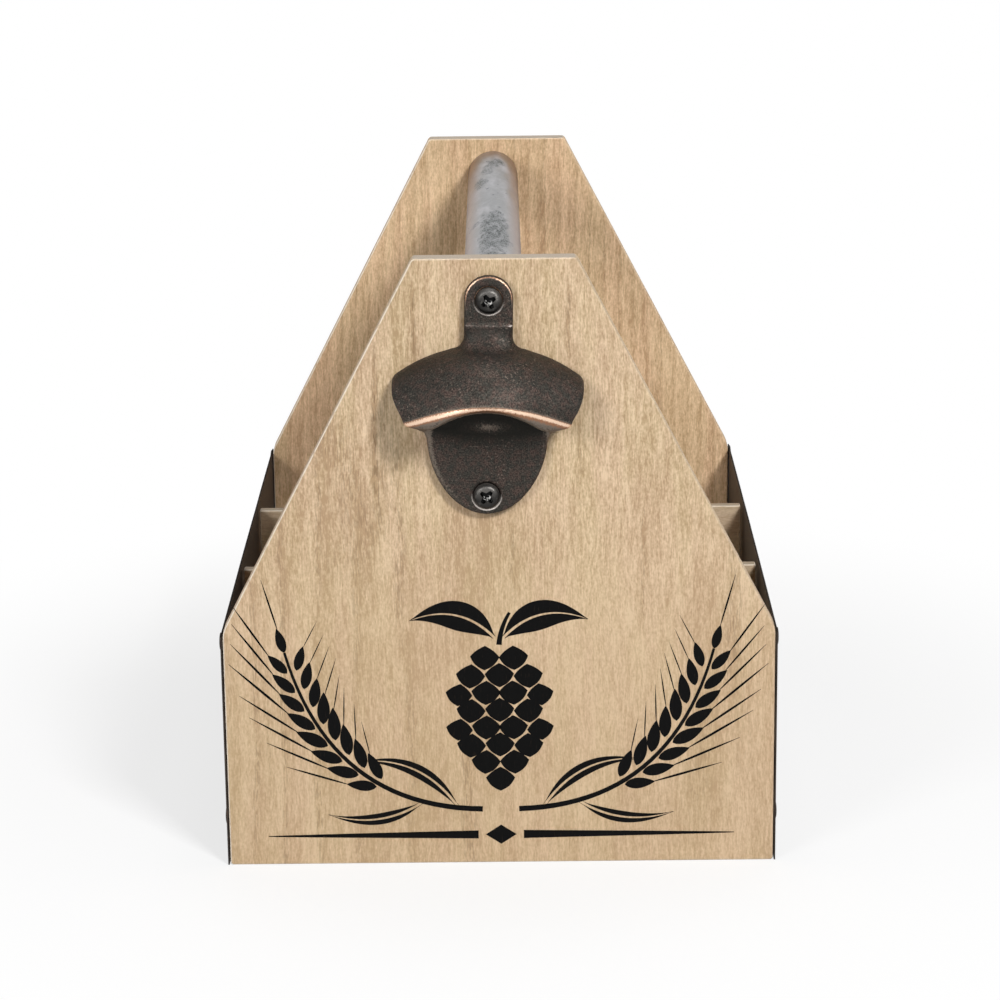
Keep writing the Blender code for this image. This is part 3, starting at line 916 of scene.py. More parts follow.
def lofted(columns: Sequence[Sequence[Point]]) -> Solid:
    """Closes a row of equal loops of points into one solid.

    Args:
        columns: The loops, in order.

    Returns:
        The solid.
    """
    bm = bmesh.new()
    loops = [[bm.verts.new(point) for point in column] for column in columns]
    for left, right in zip(loops, loops[1:]):
        for i in range(len(left)):
            bm.faces.new((left[i - 1], left[i], right[i], right[i - 1]))
    bm.faces.new(loops[0])
    bm.faces.new(loops[-1])
    return bm


def prism(outline: Outline, near: float, far: float) -> Solid:
    """An outline in X and Z, made solid between two places on Y."""
    return lofted([[(x, y, z) for x, z in outline] for y in (near, far)])


def turned(profile: Outline, sides: int, closed: bool = False) -> Solid:
    """A profile of (radius, y) turned round the Y axis.

    Args:
        profile: The profile's points.
        sides: How many sides the round has.
        closed: Whether the profile is a ring.

    Returns:
        The solid.
    """
    bm = bmesh.new()
    verts = [bm.verts.new((radius, y, 0)) for radius, y in profile]
    edges = [bm.edges.new(pair) for pair in zip(verts, verts[1:])]
    if closed:
        edges.append(bm.edges.new((verts[-1], verts[0])))
    bmesh.ops.spin(bm, geom=verts + edges, cent=(0, 0, 0), axis=(0, 1, 0), angle=2 * math.pi,
                   steps=sides, use_merge=True)
    bmesh.ops.remove_doubles(bm, verts=bm.verts, dist=0.002 * MM)
    return bm


def smoothed(piece: Thing, angle: float = 40.0) -> Thing:
    """Shades a piece smooth up to an angle in degrees."""
    piece.data.shade_smooth()
    piece.data.set_sharp_from_angle(angle=math.radians(angle))
    return piece


def cut(piece: Thing, other: Thing) -> None:
    """Adds a Boolean that takes another object away.

    Args:
        piece: The object that is changed.
        other: The object that cuts it.
    """
    modifier = piece.modifiers.new(other.name, "BOOLEAN")
    modifier.solver = "MANIFOLD"
    modifier.operation = "DIFFERENCE"
    modifier.object = other


class TreeInput(NamedTuple):
    """A named input of a Geometry Nodes tree."""

    name: str
    kind: str
    value: Any


class Tree:
    """A Geometry Nodes tree with named inputs, run once on an object."""

    def __init__(self, name: str, inputs: Sequence[TreeInput]) -> None:
        """Makes the tree and its sockets.

        Args:
            name: The tree's name.
            inputs: Its inputs, with the values for this run.
        """
        self.group = bpy.data.node_groups.new(name, "GeometryNodeTree")
        self.values: dict[str, Any] = {}
        self.graph = Graph(self.group)
        face = self.group.interface
        face.new_socket("Geometry", in_out="INPUT", socket_type="NodeSocketGeometry")
        for given in inputs:
            socket = face.new_socket(given.name, in_out="INPUT", socket_type=f"NodeSocket{given.kind}")
            self.values[socket.identifier] = given.value
        face.new_socket("Geometry", in_out="OUTPUT", socket_type="NodeSocketGeometry")
        self.inputs = self.graph.node("NodeGroupInput").outputs

    def close(self, geometry: Socket, material: Socket) -> None:
        """Realizes the instances, sets the material and ends the tree.

        Args:
            geometry: The last geometry socket.
            material: The material input's socket.
        """
        real = self.graph.node("GeometryNodeRealizeInstances", {0: geometry})
        dressed = self.graph.node("GeometryNodeSetMaterial", {
            "Geometry": real.outputs[0], "Material": material})
        self.graph.node("NodeGroupOutput", {0: dressed.outputs[0]})

    def run(self, base: Thing, name: str) -> Thing:
        """Runs the tree on an object and keeps the plain mesh.

        Args:
            base: The object that the tree starts from, which is removed.
            name: The new object's name.

        Returns:
            The new object.
        """
        modifier = base.modifiers.new(name, "NODES")
        modifier.node_group = self.group
        for identifier, value in self.values.items():
            modifier[identifier] = value
        return settled(base, name)


@dataclass
class Places:
    """Where the copies of a shape stand, how each is turned as Euler angles, and how large it is."""

    spots: list[Point] = field(default_factory=list)
    turns: list[Point] = field(default_factory=list)
    sizes: list[float] = field(default_factory=list)

    def add(self, spot: Point, turn: Point, size: float = 1.0) -> None:
        """Adds one copy: where its origin goes, its Euler angles and how large it is."""
        self.spots.append(spot)
        self.turns.append(turn)
        self.sizes.append(size)

    def mesh(self, name: str) -> Mesh:
        """Makes a mesh with a point for each copy, which carries its turn and size.

        Args:
            name: The mesh's name.

        Returns:
            The mesh, with attributes "turn" and "size".
        """
        mesh = bpy.data.meshes.new(name)
        mesh.from_pydata(self.spots, [], [])
        write_vectors(mesh, "turn", np.array(self.turns))
        write_values(mesh, "size", np.array(self.sizes))
        return mesh


def scattered(name: str, sample: Thing, places: Places, material: Material,
              wobble: Point = (0, 0, 0), growth: float = 0.0, seed: int = 1) -> Thing:
    """Sets a copy of a sample at each place, as one mesh, with Geometry Nodes.

    Args:
        name: The new piece's name.
        sample: The shape to repeat, which is removed.
        places: Where the copies stand.
        material: The copies' finish.
        wobble: The most that a copy's turn strays, as Euler angles.
        growth: The most that a copy's size strays, as a share.
        seed: The seed of what strays.

    Returns:
        The piece.
    """
    tree = Tree(f"{name}_tree", [
        TreeInput("Sample", "Object", sample), TreeInput("Wobble", "Vector", wobble),
        TreeInput("Growth", "Float", growth), TreeInput("Seed", "Int", seed),
        TreeInput("Material", "Material", material)])
    graph, given = tree.graph, tree.inputs
    copied = graph.node("GeometryNodeObjectInfo", {"Object": given["Sample"], "As Instance": True})
    turn = graph.node("GeometryNodeInputNamedAttribute", {"Name": "turn"}, data_type="FLOAT_VECTOR")
    size = graph.node("GeometryNodeInputNamedAttribute", {"Name": "size"}, data_type="FLOAT")
    back = graph.node("ShaderNodeVectorMath", {0: given["Wobble"], "Scale": -1.0}, operation="SCALE")
    stray = graph.node("FunctionNodeRandomValue", {
        0: back.outputs[0], 1: given["Wobble"], "Seed": given["Seed"]}, data_type="FLOAT_VECTOR")
    least = graph.math("SUBTRACT", 1.0, given["Growth"])
    most = graph.math("ADD", 1.0, given["Growth"])
    scale = graph.node("FunctionNodeRandomValue", {
        2: least, 3: most, "Seed": given["Seed"]}, data_type="FLOAT")
    placed = graph.node("GeometryNodeInstanceOnPoints", {
        "Points": given["Geometry"], "Instance": copied.outputs["Geometry"],
        "Rotation": graph.vector("ADD", turn.outputs[0], stray.outputs[0]),
        "Scale": graph.times(size.outputs[0], scale.outputs[1])})
    tree.close(placed.outputs[0], given["Material"])
    piece = tree.run(new_object(f"{name}_base", places.mesh(f"{name}_places")), name)
    bpy.data.objects.remove(sample, do_unlink=True)
    return piece


@dataclass
class EndBoards:
    """The two wooden ends, sawn from one wide board each."""

    top_ends: Pair = (-26.1 * MM, 25.9 * MM)
    shoulder: float = 81 * MM
    foot_round: float = 1.0 * MM
    shoulder_round: float = 10 * MM
    top_round: float = 1.8 * MM
    arris: float = 0.55 * MM
    corner_steps: int = 10
    flat_area: float = 40 * MM * MM
    front_finish: Wood = Wood("front_wood", Grain.UPRIGHT, contrast=1.15, foot_shade_share=(0.42, 0.04), streaks=(
        Streak(-48.0, 13.0, 92, 166, 0.50), Streak(-26.0, 1.3, 164, 203, 0.80),
        Streak(23.0, 1.1, 170, 202, 0.70), Streak(5.0, 1.4, 84, 122, 0.50),
        Streak(47.0, 1.2, 76, 130, 0.60), Streak(-38.5, 1.9, 104, 184, 1.0),
        Streak(-36.0, 5.0, 112, 176, 0.40), Streak(-55.0, 1.6, 132, 152, 0.65),
        Streak(-17.0, 3.0, 60, 128, 0.22), Streak(26.0, 2.0, 120, 185, 0.35),
        Streak(66.0, 7.0, 6, 74, 0.30), Streak(80.0, 5.0, 20, 86, 0.22),
        Streak(-76.0, 2.0, 20, 78, 0.30)))
    rear_finish: Wood = Wood(
        "rear_wood", Grain.UPRIGHT, shift=(230.0, -90.0, 60.0), light=(248, 219, 181), dark=(164, 133, 98),
        yellow=(214, 182, 138), pink=(221, 178, 140), contrast=0.9, open_rows=0.4, streaks=(
            Streak(-18.0, 7.0, 128, 190, 0.30), Streak(17.0, 4.0, 138, 196, 0.40),
            Streak(29.0, 3.0, 90, 178, 0.30), Streak(-44.0, 6.0, 40, 140, 0.30),
            Streak(62.0, 5.0, 30, 130, 0.35)))

    def board(self, end: str) -> Thing:
        """Makes one board: a foot, two rounded shoulders and a narrow top, its arrises eased.

        Args:
            end: Which end it closes, "front" or "rear".

        Returns:
            The board, with its attribute "arris" near 1 on the eased edges, where the wood paints a
            highlight, strongest on edges that face the left lamp.
        """
        low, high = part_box(f"{end}_panel")
        left, right = self.top_ends
        corners = [(low.x, low.z, self.foot_round), (high.x, low.z, self.foot_round),
                   (high.x, self.shoulder, self.shoulder_round), (right, high.z, self.top_round),
                   (left, high.z, self.top_round), (low.x, self.shoulder, self.shoulder_round)]
        bm = prism(rounded(corners, self.corner_steps), low.y, high.y)
        bmesh.ops.recalc_face_normals(bm, faces=bm.faces)
        rim = list({edge for face in bm.faces if len(face.verts) > 4 for edge in face.edges})
        bmesh.ops.bevel(bm, geom=rim, offset=self.arris, segments=3, profile=0.5, affect="EDGES")
        for face in bm.faces:
            face.smooth = face.calc_area() < self.flat_area
        board = from_bmesh(f"end_board_{end}", bm)
        depth = points_of(board.data)[:, 1]
        inward = np.minimum(depth - low.y, high.y - depth) / self.arris
        normals = np.array([normal.vector for normal in board.data.vertex_normals])
        # Painted highlight: edges that face the left lamp get the most, upward ones a little more.
        facing = np.clip(0.32 - 1.6 * normals[:, 0], 0.12, 1) + 0.05 * np.clip(normals[:, 2], 0, 1)
        write_values(board.data, "arris", (inward > 0.02) * (inward < 0.98) * facing.clip(0, 1))
        return board

    def build(self) -> None:
        """Makes both boards and dresses them."""
        for end, finish in (("front", self.front_finish), ("rear", self.rear_finish)):
            dress(self.board(end), finish.material(), Body.CARRIER, Slot.END_WOOD, f"{end}_panel")


@dataclass
class Tray:
    """The bottom board and the two steel sides."""

    rounding: float = 0.12 * MM
    flat_area: float = 20 * MM * MM
    wave: float = 0.22 * MM
    wave_length: float = 46 * MM
    lengthwise: int = 121
    upright: int = 41
    merge_reach: float = 0.02 * MM
    top_gap: float = 1.3 * MM
    board_finish: Wood = Wood("bottom_wood", Grain.LENGTHWISE, shift=(40.0, 300.0, 120.0),
                              light=(214, 190, 154), dark=(176, 148, 112))
    steel_finish: SheetSteel = SheetSteel("brown_steel")

    def build_board(self) -> None:
        """Makes the bottom board."""
        board = eased("bottom_board", "floor_board", self.rounding, self.flat_area)
        dress(board, self.board_finish.material(), Body.CARRIER, Slot.INNER_WOOD, "bottom_board")

    def sheet_tree(self, node: str, side: Side, material: Material) -> Tree:
        """Makes the tree of one steel side: a grid, a slight wave and a thickness.

        Args:
            node: The node that it stands for.
            side: Which side it closes.
            material: Its finish.

        Returns:
            The tree.
        """
        low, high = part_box(node)
        inner, outer = (low.x, high.x) if side is Side.RIGHT else (high.x, low.x)
        tree = Tree(f"{node}_tree", [
            TreeInput("Length", "Float", high.y - low.y),
            TreeInput("Height", "Float", high.z - low.z - self.top_gap),
            TreeInput("Inner X", "Float", inner), TreeInput("Thickness", "Float", outer - inner),
            TreeInput("Middle Y", "Float", (low.y + high.y) / 2), TreeInput("Foot Z", "Float", low.z),
            TreeInput("Wave", "Float", self.wave * side.value),
            TreeInput("Wave Length", "Float", self.wave_length),
            TreeInput("Seed", "Float", 3.0 + side.value), TreeInput("Material", "Material", material)])
        graph, given = tree.graph, tree.inputs
        grid = graph.node("GeometryNodeMeshGrid", {
            "Size X": given["Length"], "Size Y": given["Height"],
            "Vertices X": self.lengthwise, "Vertices Y": self.upright})
        position = graph.node("GeometryNodeInputPosition").outputs[0]
        along, up, _ = graph.parts(position)
        swell = graph.node("ShaderNodeTexNoise", {
            "Vector": position, "W": given["Seed"], "Detail": 1.0,
            "Scale": graph.math("DIVIDE", 1.0, given["Wave Length"])}, noise_dimensions="4D")
        fade = graph.math("COSINE", graph.math("DIVIDE", graph.times(along, math.pi), given["Length"]))
        wave = graph.times(swell.outputs[0], fade, given["Wave"])
        spot = graph.joined(
            graph.math("ADD", given["Inner X"], wave), graph.math("ADD", along, given["Middle Y"]),
            graph.math("ADD", graph.scaled(given["Height"], 0.5, up), given["Foot Z"]))
        bent = graph.node("GeometryNodeSetPosition", {
            "Geometry": grid.outputs[0], "Position": spot}).outputs[0]
        thick = graph.node("GeometryNodeExtrudeMesh", {
            "Mesh": bent, "Offset": graph.joined(1.0), "Offset Scale": given["Thickness"],
            "Individual": False}, mode="FACES")
        whole = graph.node("GeometryNodeJoinGeometry", {0: thick.outputs[0]})
        graph.feed(whole.inputs[0], graph.node("GeometryNodeFlipFaces", {0: bent}).outputs[0])
        shut = graph.node("GeometryNodeMergeByDistance", {
            "Geometry": whole.outputs[0], "Distance": self.merge_reach})
        tree.close(shut.outputs[0], given["Material"])
        return tree

    def build_sheet(self, side: Side, material: Material) -> None:
        """Makes one steel side, its edges a little rounded.

        Args:
            side: Which side it closes.
            material: Its finish.
        """
        node = f"side_sheet_{side.name.lower()}"
        base = new_object(f"{node}_base", bpy.data.meshes.new(node))
        raw = self.sheet_tree(node, side, material).run(base, f"{node}_raw")
        bm = bmesh.new()
        bm.from_mesh(raw.data)
        bpy.data.objects.remove(raw, do_unlink=True)
        rim = [edge for edge in bm.edges if edge.is_manifold and edge.calc_face_angle() > math.radians(60)]
        bmesh.ops.bevel(bm, geom=rim, offset=self.rounding, segments=2, profile=0.5, affect="EDGES")
        sheet = smoothed(from_bmesh(f"steel_side_{side.name.lower()}", bm), 30)
        dress(sheet, material, Body.CARRIER, Slot.SHEET_STEEL, node)

    def build(self) -> None:
        """Makes the bottom board and both sides."""
        self.build_board()
        steel = self.steel_finish.material()
        for side in Side:
            self.build_sheet(side, steel)


@dataclass
class DividerGrid:
    """The three thin boards that cross each other and lift out."""

    rounding: float = 0.14 * MM
    flat_area: float = 12 * MM * MM
    long_finish: Wood = Wood("long_divider_wood", Grain.LENGTHWISE, shift=(90.0, 140.0, 20.0),
                             light=(222, 202, 173), dark=(180, 156, 125), top_shade=0.62)
    cross_finish: Wood = Wood("cross_divider_wood", Grain.CROSSWISE, shift=(-60.0, 80.0, 240.0),
                              light=(222, 202, 173), dark=(178, 154, 123), top_shade=0.62)

    def build(self) -> None:
        """Makes the three dividers."""
        cross = self.cross_finish.material()
        for node, material in (("long_divider", self.long_finish.material()),
                               ("cross_divider_front", cross), ("cross_divider_rear", cross)):
            board = eased(node, f"{node}_board", self.rounding, self.flat_area)
            dress(board, material, Body.DIVIDERS, Slot.INNER_WOOD, node)


@dataclass
class Handle:
    """The zinc-coated tube and the wooden plugs in its ends."""

    sides: int = 96
    rings: int = 40
    wall: float = 1.2 * MM
    lip: float = 0.35 * MM
    lip_step: float = 0.105 * MM
    plug_finish: Wood = Wood("plug_wood", Grain.LENGTHWISE, shift=(10.0, 20.0, 30.0))

    def centres(self) -> tuple[Vector, Vector, float]:
        """Where the tube's axis starts and ends, and its radius, read from its node.

        Returns:
            The middles of its front and rear ends, and its outer radius.
        """
        points = points_of(cad_mesh("handle_tube"))
        ends = [points[points[:, 1] < points[:, 1].min() + MM],
                points[points[:, 1] > points[:, 1].max() - MM]]
        middles = [Vector((end.min(0) + end.max(0)) / 2) for end in ends]
        return middles[0], middles[1], float(np.ptp(points[:, 2]) / 2)

    def build(self) -> None:
        """Makes the tube and dresses the plugs."""
        front, rear, radius = self.centres()
        low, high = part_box("handle_tube")
        length = high.y - low.y
        inner = radius - self.wall
        straight = length - 2 * self.lip
        outside = [(radius, self.lip + straight * i / self.rings) for i in range(self.rings + 1)]
        end = [(inner, 0), (radius - self.lip, 0), (radius - self.lip_step, self.lip_step)]
        ring = [*end, *outside, *((out, length - y) for out, y in reversed(end))]
        lean = (rear.x - front.x) / (rear.y - front.y)
        place = Matrix.Translation((front.x, low.y, front.z)) @ Matrix.Rotation(-math.atan(lean), 4, "Z")
        tube = smoothed(from_bmesh("handle_bar", turned(ring, self.sides, closed=True), place))
        finish = Galvanised("zinc_tube", (front.x, low.y, front.z), lean, radius)
        dress(tube, finish.material(), Body.CARRIER, Slot.GALVANISED, "handle_tube")
        plug = self.plug_finish.material()
        for node in ("handle_plug_front", "handle_plug_rear"):
            cad_mesh(node).materials.clear()
            cad_mesh(node).materials.append(plug)


class Skin(NamedTuple):
    """A casting's points, one row each, their normals, and the pairs of points that edges join."""

    points: np.ndarray
    normals: np.ndarray
    edges: np.ndarray

    @classmethod
    def read(cls, mesh: Mesh) -> "Skin":
        """Reads the skin of a mesh.

        Args:
            mesh: The mesh.

        Returns:
            The skin.
        """
        points, normals = np.empty((2, 3 * len(mesh.vertices)))
        edges = np.empty(2 * len(mesh.edges), int)
        mesh.vertices.foreach_get("co", points)
        mesh.vertex_normals.foreach_get("vector", normals)
        mesh.edges.foreach_get("vertices", edges)
        return cls(points.reshape(-1, 3), normals.reshape(-1, 3), edges.reshape(-1, 2))

    def millimetres(self) -> np.ndarray:
        """The points' X, Y and Z in millimetres, as three rows."""
        return (self.points / MM).T

    def convexity(self, rounds: int = 4) -> np.ndarray:
        """How much the surface stands out at each point.

        Args:
            rounds: How often the values are averaged with their neighbours'.

        Returns:
            A value for each point, positive on ridges and negative in hollows.
        """
        count = len(self.points)
        first, second = self.edges[:, 0], self.edges[:, 1]
        step = self.points[first] - self.points[second]
        step /= np.linalg.norm(step, axis=1)[:, None]
        joins = np.bincount(self.edges.ravel(), minlength=count).clip(1)
        stands = (np.bincount(first, (self.normals[first] * step).sum(1), count)
                  - np.bincount(second, (self.normals[second] * step).sum(1), count)) / joins
        for _ in range(rounds):
            total = np.bincount(first, stands[second], count) + np.bincount(second, stands[first], count)
            stands = 0.5 * stands + 0.5 * total / joins
        return stands


class Rub(NamedTuple):
    """A soft oval mark on the casting, in millimetres from its upper screw."""

    x: float
    z: float
    half_width: float
    half_height: float

    def on(self, x: np.ndarray, z: np.ndarray) -> np.ndarray:
        """How strong the mark is at each point, 1 in its middle."""
        return np.exp(-((x - self.x) / self.half_width) ** 2 - ((z - self.z) / self.half_height) ** 2)


@dataclass
class Opener:
    """The cast opener, measured from its upper screw, as X, height and depth out of the board."""

    tilt: float = math.radians(1.26)
    screw_spacing: float = 63.8 * MM
    plate: float = 3.0 * MM
    plate_bevel: float = 0.9 * MM
    tab_width: float = 15.5 * MM
    step_drop: float = 8.1 * MM
    step_height: float = 0.7 * MM
    neck_fillet: float = 4.2 * MM
    neck_rise: float = 12.5 * MM
    neck_curve: float = 2.2
    neck_columns: int = 24
    neck_rows: int = 16
    neck_edge: float = 0.12
    hood_width: float = 61.2 * MM
    hood_top: float = 14.7 * MM
    hood_radius: float = 49 * MM
    hood_depth: float = 25 * MM
    hood_end_depth: float = 13 * MM
    hood_corner: float = 1.5 * MM
    side_bow: float = 2.3
    relief: float = 0.4 * MM
    wall: float = 3.0 * MM
    lip_width: float = 53.6 * MM
    lip_drop: float = 30.6 * MM
    lip_round: float = 1.2 * MM
    lip_steps: int = 5
    lip_flare: float = 0.9 * MM
    lip_flare_reach: float = 0.38
    lip_corner: float = 1.7 * MM
    arch_drop: float = 8.0 * MM
    arch_bend: float = 0.0256 / MM
    arch_sharpness: float = 9.0
    pocket_width: float = 39 * MM
    pocket_floor: float = 0.2 * MM
    cheek_width: float = 43 * MM
    cheek_drop: float = 43.5 * MM
    cheek_fillet: float = 4.5 * MM
    shield_width: float = 38.8 * MM
    shield_drop: float = 70.2 * MM
    shield_roundness: float = 1.95
    spot_radius: float = 4.6 * MM
    spot_depth: float = 0.5 * MM
    spot_sides: int = 48
    columns: int = 72
    rows: int = 22
    arc_steps: int = 20
    overrun: float = 2 * MM
    voxel: float = 0.36 * MM
    smoothing: int = 5
    blending: int = 80
    crescent_top: float = 1.75
    crescent_bend: float = 0.0138
    # where the painted highlight line runs along the lip, and how wide it is
    highlight_below: float = 0.85
    highlight_width: float = 0.40
    dust: Rub = Rub(0.0, -20.0, 9.0, 3.5)
    # a painted highlight: a lighter oval low in the pocket
    pocket_highlight: Rub = Rub(0.3, -41.2, 5.4, 1.6)
    finish: AntiqueCopper = AntiqueCopper("antique_copper")

    def arc_fall(self, x: float) -> float:
        """How far the hood's upper edge falls below its crown at x."""
        return self.hood_radius - math.sqrt(self.hood_radius * self.hood_radius - x * x)

    def lip_fall(self, x: float) -> float:
        """How far the lip falls below its crown: an arch over the mouth that levels out at its ends."""
        share = self.arch_bend * x * x / self.arch_drop
        return self.arch_drop * share / (1 + share ** self.arch_sharpness) ** (1 / self.arch_sharpness)

    def shield_side(self) -> Outline:
        """The right side of the shield, from its widest place down, as a squared-off ellipse.

        Returns:
            Its points in X and Z.
        """
        power = 2 / self.shield_roundness
        fall = self.shield_drop - self.cheek_drop
        points = []
        for i in range(1, 2 * self.arc_steps):
            angle = math.pi / 2 * i / (2 * self.arc_steps)
            points.append((self.shield_width / 2 * math.cos(angle) ** power,
                           -self.cheek_drop - fall * math.sin(angle) ** power))
        return points

    def plate_outline(self) -> Outline:
        """The flat back: a round tab, the neck's fillets, a part under the hood, and the shield.

        Returns:
            The outline's points in X and Z.
        """
        half = self.tab_width / 2
        middle = half + self.neck_fillet
        foot = self.hood_top + self.arc_fall(middle)
        cheek = self.shield_width / 2 + self.cheek_fillet
        right = [
            *arc((0, 0), half, 90, 0, self.arc_steps),
            *arc((middle, self.neck_fillet - foot), self.neck_fillet, 180, 270, self.arc_steps),
            (cheek, -(self.hood_top + self.lip_drop) / 2 - self.wall),
            *arc((cheek, -self.cheek_drop - 0.6 * self.cheek_fillet),
                 self.cheek_fillet, 90, 180, self.arc_steps)]
        lowest = right[-1][1]
        right += [(x, z) for x, z in self.shield_side() if z < lowest]
        left = [(-x, z) for x, z in reversed(right[1:])]
        return [(0, half)] + right[1:] + [(0, -self.shield_drop)] + left

    def skin(self, share: float, rise: float, depth: float, widths: Pair,
             drops: Pair) -> Point:
        """A point of the hood's skin.

        Args:
            share: Where it stands across, from -1 to 1.
            rise: Where it stands between the board, 0, and the lip, 1.
            depth: How far the hood stands out there.
            widths: The skin's width at the board and at the lip.
            drops: Its crown's height below the upper screw at the board and at the lip.

        Returns:
            The point.
        """
        bend = math.pi / 2 * rise
        down = 1 - math.cos(bend)
        top_x, bottom_x = (share * width / 2 for width in widths)
        top_z = -drops[0] - self.arc_fall(top_x)
        bottom_z = -drops[1] - self.lip_fall(bottom_x)
        x = top_x + (bottom_x - top_x) * down ** self.side_bow
        return x, -depth * math.sin(bend), top_z + (bottom_z - top_z) * down

    def reach(self, share: float) -> float:
        """How far the hood stands out of the board, most in the middle."""
        return self.hood_depth - (self.hood_depth - self.hood_end_depth) * share * share

    def shares(self) -> list[float]:
        """Where the hood's columns stand, closer together towards its ends."""
        return [math.sin(math.pi * (i / self.columns - 0.5)) for i in range(self.columns + 1)]

    def corner(self, share: float, width: float, radius: float) -> float:
        """How much a rounded corner takes off the end of the column at a share of the width."""
        inward = min((1 - abs(share)) * width / 2, radius)
        return radius - math.sqrt(inward * (2 * radius - inward))

    def hood(self) -> Solid:
        """The hood as a solid block under its curved skin, its lip flared a little.

        Returns:
            The solid.
        """
        columns = []
        for share in self.shares():
            above = self.corner(share, self.hood_width, self.hood_corner)
            below = self.corner(share, self.lip_width, self.lip_corner)
            drops = (self.hood_top + above, self.lip_drop - self.lip_round - below)
            column = []
            for row in range(self.rows + 1):
                rise = row / self.rows
                x, y, z = self.skin(share, rise, self.reach(share), (self.hood_width, self.lip_width), drops)
                flare = self.lip_flare * max(1 - (1 - rise) / self.lip_flare_reach, 0) ** 2
                column.append((x, min(y, -self.relief) - flare, z))
            lip_x, lip_y, lip_z = column[-1]
            for step in range(1, self.lip_steps + 1):
                angle = math.pi / 2 * step / self.lip_steps
                column.append((lip_x, lip_y + self.lip_round * (1 - math.cos(angle)),
                               lip_z - self.lip_round * math.sin(angle)))
            column.append((share * self.cheek_width / 2, -self.relief, -self.cheek_drop))
            columns.append(column)
        return lofted(columns)

    def pocket(self) -> Solid:
        """The space under the hood that a cap goes into, open downward.

        Returns:
            The solid.
        """
        floor = self.plate + self.pocket_floor
        below = -self.cheek_drop - self.overrun
        widths = (self.pocket_width, self.pocket_width)
        drops = (self.hood_top + self.wall, self.lip_drop)
        columns = []
        for share in self.shares():
            depth = self.reach(share * self.pocket_width / self.hood_width) - self.wall
            roof = [self.skin(share, row / self.rows, depth, widths, drops) for row in range(self.rows + 1)]
            x = share * self.pocket_width / 2
            columns.append([(x, min(y, -floor), z) for x, y, z in roof]
                           + [(x, -depth, below), (x, -floor, below)])
        return lofted(columns)

    def neck(self) -> Solid:
        """The curved ramp that thickens and widens the tab towards the hood.

        Returns:
            The solid.
        """
        front = self.plate + self.step_height
        fall = self.hood_top + self.wall - self.step_drop
        columns = []
        for i in range(self.neck_columns + 1):
            across = 2 * i / self.neck_columns - 1
            rise = (self.neck_rise - front) * (1 - across * across)
            edge = self.plate_bevel * max(abs(across) - 1 + self.neck_edge, 0) / self.neck_edge
            face, back = [], []
            for row in range(self.neck_rows + 1):
                climb = (row / self.neck_rows) ** self.neck_curve
                x = across * (self.tab_width / 2 + 0.5 * self.neck_fillet * climb ** 2)
                z = -self.step_drop - fall * row / self.neck_rows
                face.append((x, edge - front - rise * climb, z))
                back.append((x, -self.plate / 2, z))
            columns.append(face + back[::-1])
        return lofted(columns)

    def cutters(self) -> list[Thing]:
        """What is cut out of the casting: the pocket and the two flat spots for the screws.

        Returns:
            The cutters.
        """
        made = [from_bmesh("casting_pocket", self.pocket())]
        for i, drop in enumerate((0.0, self.screw_spacing)):
            spot = turned([(0, -self.plate), (self.spot_radius, -self.plate),
                           (self.spot_radius, self.spot_depth), (0, self.spot_depth)], self.spot_sides)
            bmesh.ops.translate(spot, verts=spot.verts, vec=(0, -self.plate, -drop))
            made.append(from_bmesh(f"casting_spot_{i}", spot))
        return made

    def skinned(self, casting: Thing) -> None:
        """Adds a remesh that leaves one even skin round all solids.

        Args:
            casting: The casting.
        """
        skin = casting.modifiers.new("skin", "REMESH")
        skin.mode = "VOXEL"
        skin.voxel_size = self.voxel

    def block(self) -> Thing:
        """Makes the casting before it is smoothed, at its upper screw.

        Returns:
            The casting.
        """
        bm = prism(self.plate_outline(), 0, -self.plate)
        bmesh.ops.recalc_face_normals(bm, faces=bm.faces)
        rim = [edge for edge in bm.edges if all(vertex.co.y < -self.plate / 2 for vertex in edge.verts)]
        bmesh.ops.bevel(bm, geom=rim, offset=self.plate_bevel, segments=2, profile=0.5, affect="EDGES")
        for solid in (self.hood(), self.neck()):
            bmesh.ops.recalc_face_normals(solid, faces=solid.faces)
            shape = bpy.data.meshes.new("solid")
            solid.to_mesh(shape)
            solid.free()
            bm.from_mesh(shape)
            bpy.data.meshes.remove(shape)
        casting = from_bmesh("casting", bm)
        cutters = self.cutters()
        self.skinned(casting)
        for cutter in cutters:
            cut(casting, cutter)
        self.skinned(casting)
        whole = settled(casting)
        for cutter in cutters:
            bpy.data.objects.remove(cutter, do_unlink=True)
        return whole

    def softened(self, piece: Thing) -> Thing:
        """Smooths the casting a little everywhere, and well where the neck runs into the hood.

        Args:
            piece: The casting, which is removed.

        Returns:
            The smoothed casting.
        """
        x, y, z = (points_of(piece.data) / MM).T
        above = z + self.hood_top / MM
        near = ramp(np.abs(x), 17, 13) * ramp(above, -7.5, -4.5) * ramp(above, 5.5, 4.0) * ramp(-y, 0.6, 2.6)
        group = piece.vertex_groups.new(name="blend")
        for i in np.nonzero(near > 0)[0]:
            group.add([int(i)], float(near[i]), "REPLACE")
        for iterations, where in ((self.blending, "blend"), (self.smoothing, "")):
            smooth = piece.modifiers.new("soften", "SMOOTH")
            smooth.factor = 0.5
            smooth.iterations = iterations
            smooth.vertex_group = where
        return settled(piece, "opener_body")

